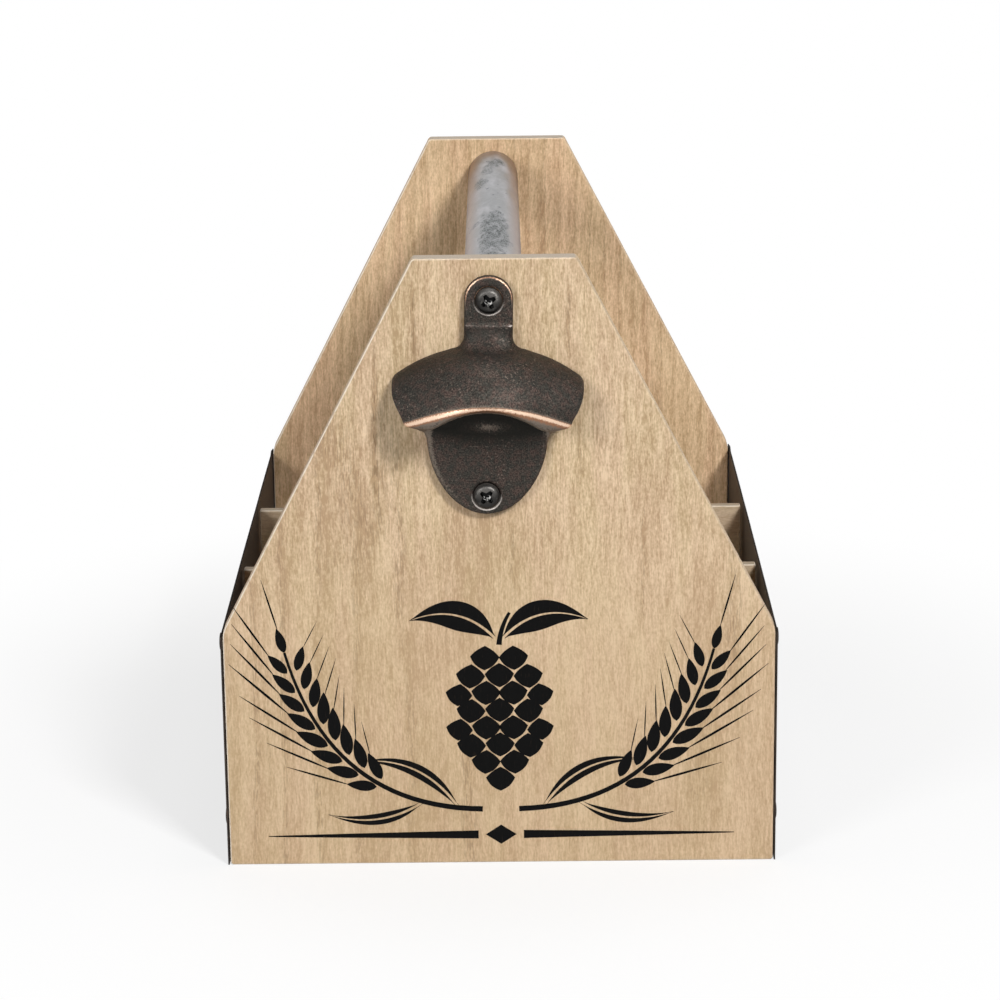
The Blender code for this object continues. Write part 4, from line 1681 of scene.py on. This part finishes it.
    def lip_wear_and_highlight(self, skin: Skin) -> np.ndarray:
        """How far the lip is rubbed: a rubbed copper crescent, painted darker low down as shade where it
        turns under, with a painted highlight line along its middle.

        Args:
            skin: The casting's skin.

        Returns:
            A value for each point.
        """
        x, y, z = skin.millimetres()
        forward = -skin.normals[:, 1]
        crown = self.lip_drop / MM
        edge = -crown - np.array([self.lip_fall(part) for part in skin.points[:, 0]]) / MM
        sag = self.crescent_bend * x * x / (1 + (x / 62) ** 2)
        below = self.crescent_top - crown - sag - z
        on_lip = (y < -0.4 * self.hood_end_depth / MM) * (z > edge - 1.4) * ramp(forward, -0.25, 0.05)
        ends = ramp(np.abs(x), 0, 16)
        # Painted highlight: a bright line along the lip's middle, wider and stronger towards its ends.
        off = (below - self.highlight_below - 0.55 * ends * (x < 0)) / (self.highlight_width + 0.25 * ends)
        highlight_line = np.exp(-off ** 2) * (0.34 + 0.22 * ends)
        # Rubbed copper, painted darker in its lower part as shade where the lip turns downward.
        face = 0.66 * ramp(below, 0, 0.7) * (1 - 0.46 * ramp(below, 2.0, 3.2))
        glow = 0.26 * ramp(below, -2.5, 0) * (below < 0.7)
        return on_lip * (face + glow + highlight_line)

    def rim_wear(self, skin: Skin) -> np.ndarray:
        """How far the tab's bevel and the shield's rim are rubbed.

        Args:
            skin: The casting's skin.

        Returns:
            A value for each point.
        """
        x, y, z = skin.millimetres()
        forward = -skin.normals[:, 1]
        front = (self.plate + self.step_height) / MM
        top, bottom = self.cheek_drop / MM, self.shield_drop / MM
        bevel = ramp(forward, 0.52, 0.66) * ramp(forward, 0.92, 0.84) * (y > -front - 0.2) * (y < -0.8)
        shoulders = np.exp(-((np.abs(np.arctan2(x, z)) - 0.85) / 0.38) ** 2)
        low = ramp(-z, top, bottom)
        across = np.abs(x) / (self.shield_width / MM / 2)
        out = (across ** self.shield_roundness + low ** self.shield_roundness) ** (1 / self.shield_roundness)
        shield = ramp(out, 0.86, 0.93) * (z < 4 - top) * (y > -4) * (y < -0.8)
        return np.maximum((0.84 + 0.4 * shoulders) * bevel * ramp(z, -4, 1),
                          shield * (0.30 - 0.08 * np.sign(x)) * (1.1 - 0.6 * low))

    def wear(self, skin: Skin) -> np.ndarray:
        """How far the plate is rubbed off: along the lip, on ridges and rims and where dust lies, with
        painted highlights along the lip and low in the pocket.

        Args:
            skin: The casting's skin.

        Returns:
            A value from 0 to about 1 for each point.
        """
        x, y, z = skin.millimetres()
        hood_top = self.hood_top / MM
        ridge = (0.2 + 0.3 * ramp(-z, hood_top, hood_top + 3)) * ramp(skin.convexity(), 0.03, 0.13)
        dust = 0.22 * self.dust.on(x, z) * (skin.normals[:, 1] < 0)
        # Painted highlight low in the pocket.
        pocket_highlight = 0.35 * self.pocket_highlight.on(x, z) * (y > -self.plate / MM - 1)
        cheek = 0.44 * self.cheeks(skin) * (x > 0)
        marks = [ridge, self.lip_wear_and_highlight(skin), self.rim_wear(skin), dust, pocket_highlight, cheek]
        return np.clip(np.max(marks, axis=0), 0, 1.25)

    def cheeks(self, skin: Skin) -> np.ndarray:
        """Where the two walls beside the pocket are.

        Args:
            skin: The casting's skin.

        Returns:
            A value near 1 on them and 0 elsewhere.
        """
        x, y, z = skin.millimetres()
        half = self.pocket_width / MM / 2
        lip, foot = self.lip_drop / MM, self.cheek_drop / MM
        return (ramp(np.abs(x), half - 1.0, half - 0.4) * ramp(-z, lip + 6, lip + 8)
                * ramp(-z, foot + 9, foot + 4) * (y < -1.5))

    def bare(self, skin: Skin) -> np.ndarray:
        """Where painted highlights lie: along the tab's step, stronger at its ends, and round the lower
        halves of the screw spots, where their rims catch the light.

        Args:
            skin: The casting's skin.

        Returns:
            A value from 0 to about 1 for each point.
        """
        x, y, z = skin.millimetres()
        half = self.tab_width / MM / 2
        ends = ramp(np.abs(x), 0.72 * half, 0.97 * half) * (0.24 + 0.16 * np.sign(x))
        # Painted highlight: the step's edge catching the light.
        step = np.exp(-((z + self.step_drop / MM) / 0.30) ** 2) * (y < -2.5)
        marks = [step * (skin.normals[:, 1] < -0.3) * (np.abs(x) < half) * (0.26 + ends)]
        # Painted highlights where the lower rims of the screw spots catch the light.
        for drop, bright in ((0.0, 0.72), (self.screw_spacing / MM, 1.05)):
            away = np.hypot(x, z + drop)
            ring = np.exp(-((away - self.spot_radius / MM - 0.10) / 0.34) ** 2)
            down = -(z + drop) / np.maximum(away, 0.1)
            marks.append(ring * ramp(down, -0.25, 0.75) ** 0.6 * bright * (y < -1.5))
        return np.max(marks, axis=0)

    def soot(self, skin: Skin) -> np.ndarray:
        """How dark the plate is drawn: black patina and the hood's painted shadow in the pocket, darker spots
        round the screws, painted shade on the hood's left end and a darker band down the neck.

        Args:
            skin: The casting's skin.

        Returns:
            A value from 0 to about 1 for each point.
        """
        x, y, z = skin.millimetres()
        half = self.pocket_width / MM / 2
        plate, step = self.plate / MM, self.step_drop / MM
        falls = np.array([self.arc_fall(part) for part in skin.points[:, 0]])
        crown = (self.hood_top + falls) / MM
        edge = -self.cheek_drop / MM - 4.6 + 2.4 * (x / half) ** 2
        floor = (y > -plate - 0.6) * (z < -crown - 2.5) * (z > -self.shield_drop / MM)
        inner = (skin.normals[:, 1] > 0.1) * (y < -plate)
        # Painted shadow of the hood over the pocket, over the black patina kept in that hollow.
        pocket = (np.abs(x) < half + 0.5) * np.maximum(floor, inner) * ramp(z - edge, -0.75, 4.25)
        away = np.minimum(np.hypot(x, z), np.hypot(x, z + self.screw_spacing / MM))
        spots = away < self.spot_radius / MM - 0.1
        # Painted shade on the hood's left end.
        ends = ramp(-x, 12, 24) * (y < -4) * (z > -self.lip_drop / MM)
        dull = ramp(z, -13.5, -11.0) * ramp(-z, step, step + 1)
        # The painted shadow is lifted where the painted highlight in the pocket lies.
        rubbed = 1 - 0.9 * self.pocket_highlight.on(x, z)
        return np.clip(np.max([0.95 * pocket * rubbed, 0.55 * spots, 0.30 * ends, 0.50 * dull], axis=0), 0, 1)

    def build(self) -> None:
        """Makes the casting, smooths it, marks where it is rubbed and blackened and where light and shade are
        painted, and hangs it on its screw.
        """
        piece = self.softened(self.block())
        mesh = piece.data
        skin = Skin.read(mesh)
        for name, values in (("wear", self.wear(skin)), ("soot", self.soot(skin)),
                             ("bare", self.bare(skin)), ("warm", self.cheeks(skin))):
            write_values(mesh, name, values)
        low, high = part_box("opener_screw_upper")
        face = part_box("opener_casting")[1].y
        middle = (low + high) / 2
        mesh.transform(Matrix.Translation((middle.x, face, middle.z)) @ Matrix.Rotation(self.tilt, 4, "Y"))
        mesh.shade_smooth()
        dress(piece, self.finish.material(), Body.CARRIER, Slot.COPPER, "opener_casting")


@dataclass
class Fasteners:
    """The pan-head screws and the round-head nails."""

    screw_sides: int = 56
    crown: float = 2.6 * MM
    crown_flat: float = 1.56 * MM
    dome_steps: int = 10
    edge_share: float = 0.22
    recess_span: float = 4.9 * MM
    recess_width: float = 1.3 * MM
    recess_depth: float = 1.7 * MM
    head_radius: float = 4.2 * MM
    head_height: float = 2.5 * MM
    shank: float = 1.9 * MM
    shank_length: float = 8.0 * MM
    turns: tuple[float, float, float] = (15.0, -5.0, 31.0)
    nail_sides: int = 24
    nail_radius: float = 2.9 * MM
    nail_height: float = 0.5 * MM
    nail_steps: int = 7
    nail_edge_share: float = 0.25
    nail_shank: float = 0.7 * MM
    nail_length: float = 15.5 * MM
    screw_finish: CrossHead = CrossHead("black_screw", base=(58, 56, 54))
    nail_finish: Blackened = Blackened("dark_nail", base=(46, 40, 36), rubbed=(96, 82, 70))

    def recess(self) -> Solid:
        """The cross recess of a screw, narrower towards its floor.

        Returns:
            The solid.
        """
        wide, thin = self.recess_span / 2, self.recess_width / 2
        quarter = [(wide, -thin * 0.8), (wide, thin * 0.8), (thin * 1.5, thin * 1.5)]
        arms = [Matrix.Rotation(math.radians(angle), 2) for angle in (45, 135, 225, 315)]
        outline = [tuple(arm @ Vector(point)) for arm in arms for point in quarter]
        floor = -self.head_height + self.recess_depth
        levels = ((-self.head_height * 1.4, 1.12), (-self.head_height, 1.0), (floor, 0.70))
        return lofted([[(x * share, y, z * share) for x, z in outline] for y, share in levels])

    def screw(self) -> Thing:
        """Makes one screw along +Y with the underside of its head at the origin.

        Returns:
            The screw, with its attributes "wear" and "local".
        """
        rim = self.head_radius - self.crown
        high = 1 - self.edge_share
        angles = [math.pi / 2 * i / self.dome_steps for i in range(self.dome_steps + 1)]
        dome = [(self.crown + rim * math.sin(angle),
                 -self.head_height * (self.edge_share + high * math.cos(angle))) for angle in angles]
        profile = [(0, -self.head_height), (self.crown_flat, -self.head_height), *dome,
                   (self.head_radius * 0.985, 0), (self.shank, 0), (self.shank, self.shank_length),
                   (0, self.shank_length + self.shank)]
        head = from_bmesh("screw_head", turned(profile, self.screw_sides))
        cross = from_bmesh("screw_recess", self.recess())
        cut(head, cross)
        whole = settled(head)
        bpy.data.objects.remove(cross, do_unlink=True)
        points = points_of(whole.data)
        x, y, z = points.T
        rim_wear = ramp(np.hypot(x, z), self.head_radius * 0.93, self.head_radius)
        write_values(whole.data, "wear", 0.22 * rim_wear * (y < 0))
        write_vectors(whole.data, "local", points / MM)
        return smoothed(whole, 38)

    def nail(self) -> Thing:
        """Makes one nail along +Y with the underside of its head at the origin.

        Returns:
            The nail, with its attribute "wear".
        """
        high = 1 - self.nail_edge_share
        angles = [math.pi / 2 * i / self.nail_steps for i in range(1, self.nail_steps + 1)]
        dome = [(self.nail_radius * math.sin(angle),
                 -self.nail_height * (self.nail_edge_share + high * math.cos(angle))) for angle in angles]
        profile = [(0, -self.nail_height), *dome, (self.nail_radius * 0.97, 0), (self.nail_shank, 0),
                   (self.nail_shank, self.nail_length - self.nail_shank), (0, self.nail_length)]
        made = smoothed(from_bmesh("nail_sample", turned(profile, self.nail_sides)), 50)
        x, _, z = points_of(made.data).T
        write_values(made.data, "wear", 0.5 * ramp(np.hypot(x, z), self.nail_radius * 0.7, 0))
        return made

    def build_screws(self) -> None:
        """Sets the three screws where their nodes are."""
        names = ("opener_screw_upper", "opener_screw_lower", "handle_screw_rear")
        places = Places()
        for name, turn in zip(names, self.turns):
            low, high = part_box(name)
            is_front = name.startswith("opener")
            seat = low.y + self.head_height if is_front else high.y - self.head_height
            places.add(((low.x + high.x) / 2, seat, (low.z + high.z) / 2),
                       (0, math.radians(turn), 0 if is_front else math.pi))
        finish = self.screw_finish.material()
        screws = scattered("pan_head_screws", self.screw(), places, finish, seed=4)
        dress(screws, finish, Body.CARRIER, Slot.BLACK_STEEL, *names)

    def build_nails(self) -> None:
        """Sets the nails of both sides where their nodes are."""
        names = sorted(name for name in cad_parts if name.startswith("nail_"))
        places = Places()
        for name in names:
            low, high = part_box(name)
            side = Side.LEFT if "_left_" in name else Side.RIGHT
            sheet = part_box(f"side_sheet_{side.name.lower()}")
            edge = sheet[0].x if side is Side.LEFT else sheet[1].x
            places.add((edge, (low.y + high.y) / 2, (low.z + high.z) / 2), (0, 0, side.value * math.pi / 2))
        finish = self.nail_finish.material()
        nails = scattered("side_nails", self.nail(), places, finish,
                          wobble=(0.0, 0.02, 0.012), growth=0.02, seed=11)
        dress(nails, finish, Body.CARRIER, Slot.NAIL_STEEL, *names)

    def build(self) -> None:
        """Makes all screws and nails."""
        self.build_screws()
        self.build_nails()


class Curve(NamedTuple):
    """A bent line in the board's plane, from its start by way of a pull to its end, in millimetres."""

    start: Pair
    pull: Pair
    end: Pair

    def at(self, share: float) -> Vector:
        """The point at a share of the way."""
        start, pull, end = (Vector(point) for point in self)
        return start * (1 - share) ** 2 + pull * 2 * share * (1 - share) + end * share ** 2

    def heading(self, share: float) -> Vector:
        """The direction there."""
        start, pull, end = (Vector(point) for point in self)
        return ((pull - start) * (1 - share) + (end - pull) * share).normalized()

    def spaced(self, start: float, count: int, samples: int = 200) -> list[float]:
        """Shares of the way that stand evenly along the line.

        Args:
            start: The share where they start.
            count: How many there are.
            samples: How finely the line's length is measured.

        Returns:
            The shares, the last of them 1.
        """
        shares = np.linspace(start, 1, samples)
        points = np.array([self.at(share) for share in shares])
        gone = np.concatenate(([0], np.cumsum(np.linalg.norm(np.diff(points, axis=0), axis=1))))
        return list(np.interp(np.linspace(0, gone[-1], count), gone, shares))

    def beside(self, reach: Callable[[float], float], side: int, steps: int) -> Outline:
        """A second line beside this one.

        Args:
            reach: How far it stands off at each share of the way.
            side: 1 for the left and -1 for the right.
            steps: How finely it is divided.

        Returns:
            Its points.
        """
        line = []
        for share in (i / steps for i in range(steps + 1)):
            heading = self.heading(share)
            line.append(tuple(self.at(share) + Vector((-heading.y, heading.x)) * (side * reach(share))))
        return line

    def mirrored(self) -> "Curve":
        """The same line on the other side."""
        return Curve(*((-x, z) for x, z in self))


@dataclass
class Print:
    """A plain harvest emblem in ink on the front board: two ears of barley round a hop cone, over a rule."""

    proud: float = 0.04 * MM
    sunk: float = 0.03 * MM
    steps: int = 24
    finest: float = 0.12
    ear: Curve = Curve((6, 19), (56, 20), (70, 74))
    ear_start: float = 0.40
    grains: int = 9
    grain_size: Pair = (10.6, 4.0)
    grain_steps: int = 14
    grain_angle: float = math.radians(27)
    awn_size: Pair = (24.0, 0.75)
    stem_widths: Pair = (1.9, 0.9)
    leaves: tuple[tuple[Curve, float], ...] = (
        (Curve((14, 19.6), (26, 38), (46, 36)), 4.6), (Curve((26, 21.5), (40, 12), (57, 17.5)), 4.0))
    hop_middle: Pair = (0.0, 30.0)
    hop_rows: tuple[int, ...] = (1, 2, 3, 4, 3, 4, 3, 2)
    hop_pitch: Pair = (9.4, 6.0)
    hop_stem: Curve = Curve((0, 76), (0.5, 82), (3.5, 87))
    petal_size: Pair = (9.6, 8.4)
    petal_steps: int = 8
    hop_leaf: Curve = Curve((1.5, 78.5), (13, 91), (29, 84.5))
    hop_leaf_width: float = 10.0
    rib: float = 0.9
    rule_height: float = 10.0
    rule_span: tuple[float, float, float] = (7.5, 40.0, 77.0)
    lozenge: Pair = (3.4, 5.1)
    finish: Ink = Ink("black_ink")

    def flat(self, name: str, outline: Outline) -> Thing:
        """Makes a flat piece of ink at the origin, from an outline in millimetres."""
        points = [(x * MM, z * MM) for x, z in outline]
        return from_bmesh(name, prism(points, -self.proud, self.sunk))

    def blade(self, curve: Curve, widths: Callable[[float], float], steps: int) -> Outline:
        """The outline of a strip along a curve.

        Args:
            curve: Its middle line.
            widths: Its width at each share of the way.
            steps: How finely it is divided.

        Returns:
            The outline.
        """
        left, right = (curve.beside(lambda share: max(widths(share), self.finest) / 2, side, steps)
                       for side in (1, -1))
        return left + right[::-1]

    def rib_half(self, share: float) -> float:
        """Half the width of a leaf's bare rib at a share of its length."""
        return self.rib * (1 - share) ** 0.5 / 2

    def stem_width(self, share: float) -> float:
        """The width of an ear's stem at a share of its length."""
        return self.stem_widths[0] + (self.stem_widths[1] - self.stem_widths[0]) * share

    def leaf(self, curve: Curve, width: float) -> list[Outline]:
        """The outlines of a leaf's two halves, with a bare rib between them.

        Args:
            curve: The leaf's rib.
            width: Its full width.

        Returns:
            Both halves' outlines.
        """
        halves = []
        for side in (-1, 1):
            inner = curve.beside(self.rib_half, side, self.steps)
            outer = curve.beside(lambda share: max(width * math.sin(math.pi * share ** 0.85) ** 1.1 / 2,
                                                   self.rib_half(share) + 0.10), side, self.steps)
            halves.append(inner + outer[::-1])
        return halves

    def drop(self, length: float, width: float) -> Outline:
        """The outline of a grain or an awn: pointed at its tip, rounder at its foot."""
        return self.blade(Curve((0, 0), (0, length / 2), (0, length)),
                          lambda share: width * math.sin(math.pi * share ** 0.8) ** 0.8, self.grain_steps)

    def petal(self) -> Outline:
        """The outline of a hop cone's scale: a rhombus with bent sides.

        Returns:
            The outline.
        """
        width, height = self.petal_size
        bulges = [(i / self.petal_steps, math.sin(math.pi * i / self.petal_steps))
                  for i in range(self.petal_steps + 1)]
        lower = [(width / 2 * share + 0.42 * bulge, -0.45 * height * (1 - share) - 0.168 * bulge)
                 for share, bulge in bulges]
        upper = [(width / 2 * (1 - share) + 0.55 * bulge, 0.55 * height * share + 0.55 * bulge)
                 for share, bulge in bulges]
        right = lower + upper[1:]
        return right + [(-x, z) for x, z in reversed(right[1:-1])]

    def ear_places(self) -> tuple[Places, Places]:
        """Where the grains and awns of both ears stand.

        Returns:
            The grains' places and the awns'.
        """
        grains, awns = Places(), Places()
        for hand, curve in ((1, self.ear), (-1, self.ear.mirrored())):
            for i, share in enumerate(curve.spaced(self.ear_start, self.grains)):
                heading = curve.heading(share)
                lean = math.atan2(heading.x, heading.y)
                size = 0.80 + 0.24 * math.sin(math.pi * min(i / self.grains + 0.18, 1))
                for side in (-1, 1) if i < self.grains - 1 else (0,):
                    inside = side * hand < 0
                    turn = lean + side * self.grain_angle * (1.28 if inside else 1)
                    foot = curve.at(share) + Vector((heading.y, -heading.x)) * side * (1.9 if inside else 1.3)
                    tip = Vector((math.sin(turn), math.cos(turn))) * self.grain_size[0] * size * 0.9 + foot
                    awn_turn = lean + side * self.grain_angle * (1.75 if inside else 0.62)
                    grains.add((foot.x * MM, 0, foot.y * MM), (0, turn, 0), size)
                    awns.add((tip.x * MM, 0, tip.y * MM), (0, awn_turn, 0),
                             size * (0.55 if inside else 1))
        return grains, awns

    def laid(self, piece: Thing, ink: Material) -> None:
        """Lays a flat piece on the front board and dresses it."""
        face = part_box("front_panel")[0].y
        piece.data.transform(Matrix.Translation((0, face, 0)))
        dress(piece, ink, Body.CARRIER, Slot.END_WOOD)

    def build_ears(self, ink: Material) -> None:
        """Prints the grains and the awns."""
        grains, awns = self.ear_places()
        grain = self.flat("print_grain", self.drop(*self.grain_size))
        self.laid(scattered("print_grains", grain, grains, ink, (0, 0.03, 0), growth=0.03, seed=3), ink)
        awn = self.flat("print_awn", self.drop(*self.awn_size))
        self.laid(scattered("print_awns", awn, awns, ink, (0, 0.04, 0), growth=0.08, seed=5), ink)

    def build_hop(self, ink: Material) -> None:
        """Prints the hop cone's scales."""
        places = Places()
        x, z = self.hop_middle
        pitch, rise = self.hop_pitch
        for row, count in enumerate(self.hop_rows):
            for i in range(count):
                off = i - (count - 1) / 2
                places.add(((x + off * pitch * (0.94 if count == 4 else 1)) * MM, 0,
                            (z + row * rise - 0.35 * off * off) * MM),
                           (0, math.pi - 0.10 * off, 0), 0.92 if abs(off) > 1.2 else 1.0)
        petal = self.flat("print_petal", self.petal())
        self.laid(scattered("print_hop", petal, places, ink, wobble=(0, 0.02, 0), seed=7), ink)

    def build_lines(self, ink: Material) -> None:
        """Prints the stems, the leaves, the rule with its lozenge and the cone's stalk."""
        outlines = []
        for is_right in (True, False):
            ear = self.ear if is_right else self.ear.mirrored()
            outlines.append(self.blade(ear, self.stem_width, self.steps))
            for curve, width in ((self.hop_leaf, self.hop_leaf_width), *self.leaves):
                outlines += self.leaf(curve if is_right else curve.mirrored(), width)
        for side in (-1, 1):
            rule = Curve(*((side * x, self.rule_height) for x in self.rule_span))
            outlines.append(self.blade(rule, lambda share: 2.6 * (1 - share) ** 0.8 + 0.25, self.steps))
        tall, wide = self.lozenge
        outlines.append([(wide, self.rule_height), (0, self.rule_height + tall),
                         (-wide, self.rule_height), (0, self.rule_height - tall)])
        outlines.append(self.blade(self.hop_stem, lambda share: 1.8 - 0.8 * share, self.steps))
        for i, outline in enumerate(outlines):
            self.laid(self.flat(f"print_line_{i}", outline), ink)

    def build(self) -> None:
        """Prints the whole emblem."""
        ink = self.finish.material()
        self.build_ears(ink)
        self.build_hop(ink)
        self.build_lines(ink)


@dataclass(frozen=True)
class Lamp:
    """A square soft lamp that faces the carrier."""

    name: str
    place: Point
    width: float
    power: float


@dataclass
class Studio:
    """The floor, the lamps, the white surround and the camera."""

    aim: Point = (0.0, 0.0, 0.09)
    floor_radius: float = 4.0
    floor_grey: float = 187.516
    floor_fade: Pair = (0.12, 0.32)
    floor_glow: Pair = (0.70, 1.0)
    surround_fade: Pair = (-0.1, 0.6)
    surround: Pair = (0.045, 0.30)
    lamps: tuple[Lamp, ...] = (
        Lamp("key_left", (-1.35, -1.75, 0.98), 0.75, 19.5),
        Lamp("key_right", (1.0, -1.75, 1.60), 0.5, 45.5),
        Lamp("top", (0.1, 0.5, 1.9), 0.9, 6.0))
    camera_place: Point = (0.006512, -1.107767, 0.402795)
    camera_turn: Point = (1.296597, 0.011579, 0.002422)
    lens: float = 114.9157

    def build_floor(self) -> None:
        """Makes the pale floor, white to the camera where no shadow falls."""
        bm = bmesh.new()
        bmesh.ops.create_circle(bm, cap_ends=True, segments=64, radius=self.floor_radius)
        floor = from_bmesh("floor", bm)
        material = bpy.data.materials.new("floor_white")
        material.use_nodes = True
        graph = Graph(material.node_tree)
        rays = graph.node("ShaderNodeLightPath").outputs
        reach = graph.length(graph.coordinates("Object"))
        far = graph.remap(reach, *self.floor_fade, *self.floor_glow)
        seen = graph.math("MAXIMUM", rays["Is Camera Ray"], rays["Is Glossy Ray"])
        white = graph.blend(seen, (self.floor_grey,) * 3, (255, 255, 255))
        lit = graph.node("ShaderNodeBsdfDiffuse", {"Color": white})
        glow = graph.node("ShaderNodeEmission", {"Color": WHITE, "Strength": 1.0})
        whole = graph.node("ShaderNodeMixShader", {
            0: graph.times(far, seen), 1: lit.outputs[0], 2: glow.outputs[0]})
        graph.node("ShaderNodeOutputMaterial", {"Surface": whole.outputs[0]})
        floor.data.materials.append(material)

    def build_surround(self) -> None:
        """Makes the world: white where it is seen or mirrored, and a plain soft light."""
        world = bpy.data.worlds.new("surround")
        world.use_nodes = True
        graph = Graph(world.node_tree)
        rays = graph.node("ShaderNodeLightPath").outputs
        seen = graph.math("MAXIMUM", graph.math("MAXIMUM", rays["Is Camera Ray"], rays["Is Glossy Ray"]),
                          rays["Is Transmission Ray"])
        toward = graph.parts(graph.coordinates("Generated"))
        behind = graph.remap(toward[1], *self.surround_fade, *self.surround)
        strength = graph.math("MAXIMUM", seen, behind)
        sky = graph.node("ShaderNodeBackground", {"Color": WHITE, "Strength": strength})
        graph.node("ShaderNodeOutputWorld", {"Surface": sky.outputs[0]})
        bpy.context.scene.world = world

    def build_lamps(self) -> None:
        """Hangs the lamps."""
        for lamp in self.lamps:
            light = bpy.data.lights.new(lamp.name, "AREA")
            light.size = lamp.width
            light.energy = lamp.power
            hung = new_object(lamp.name, light)
            hung.location = lamp.place
            hung.rotation_euler = (Vector(self.aim) - Vector(lamp.place)).to_track_quat("-Z", "Y").to_euler()

    def build_camera(self) -> None:
        """Sets the camera."""
        lens = bpy.data.cameras.new("view")
        lens.lens = self.lens
        camera = new_object("view", lens)
        camera.location = self.camera_place
        camera.rotation_euler = Euler(self.camera_turn)
        bpy.context.scene.camera = camera

    def build(self) -> None:
        """Makes the whole studio."""
        self.build_floor()
        self.build_surround()
        self.build_lamps()
        self.build_camera()
        bpy.context.scene.view_settings.view_transform = "Standard"


def main() -> None:
    """Builds the carrier's pieces and the studio."""
    logging.basicConfig(level=logging.INFO, format="%(name)s: %(message)s")
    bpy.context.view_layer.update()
    for part in (Studio(), EndBoards(), Tray(), DividerGrid(), Handle(), Opener(), Fasteners(), Print()):
        part.build()
        log.info("%s is built", type(part).__name__)


if __name__ == "__main__":
    main()
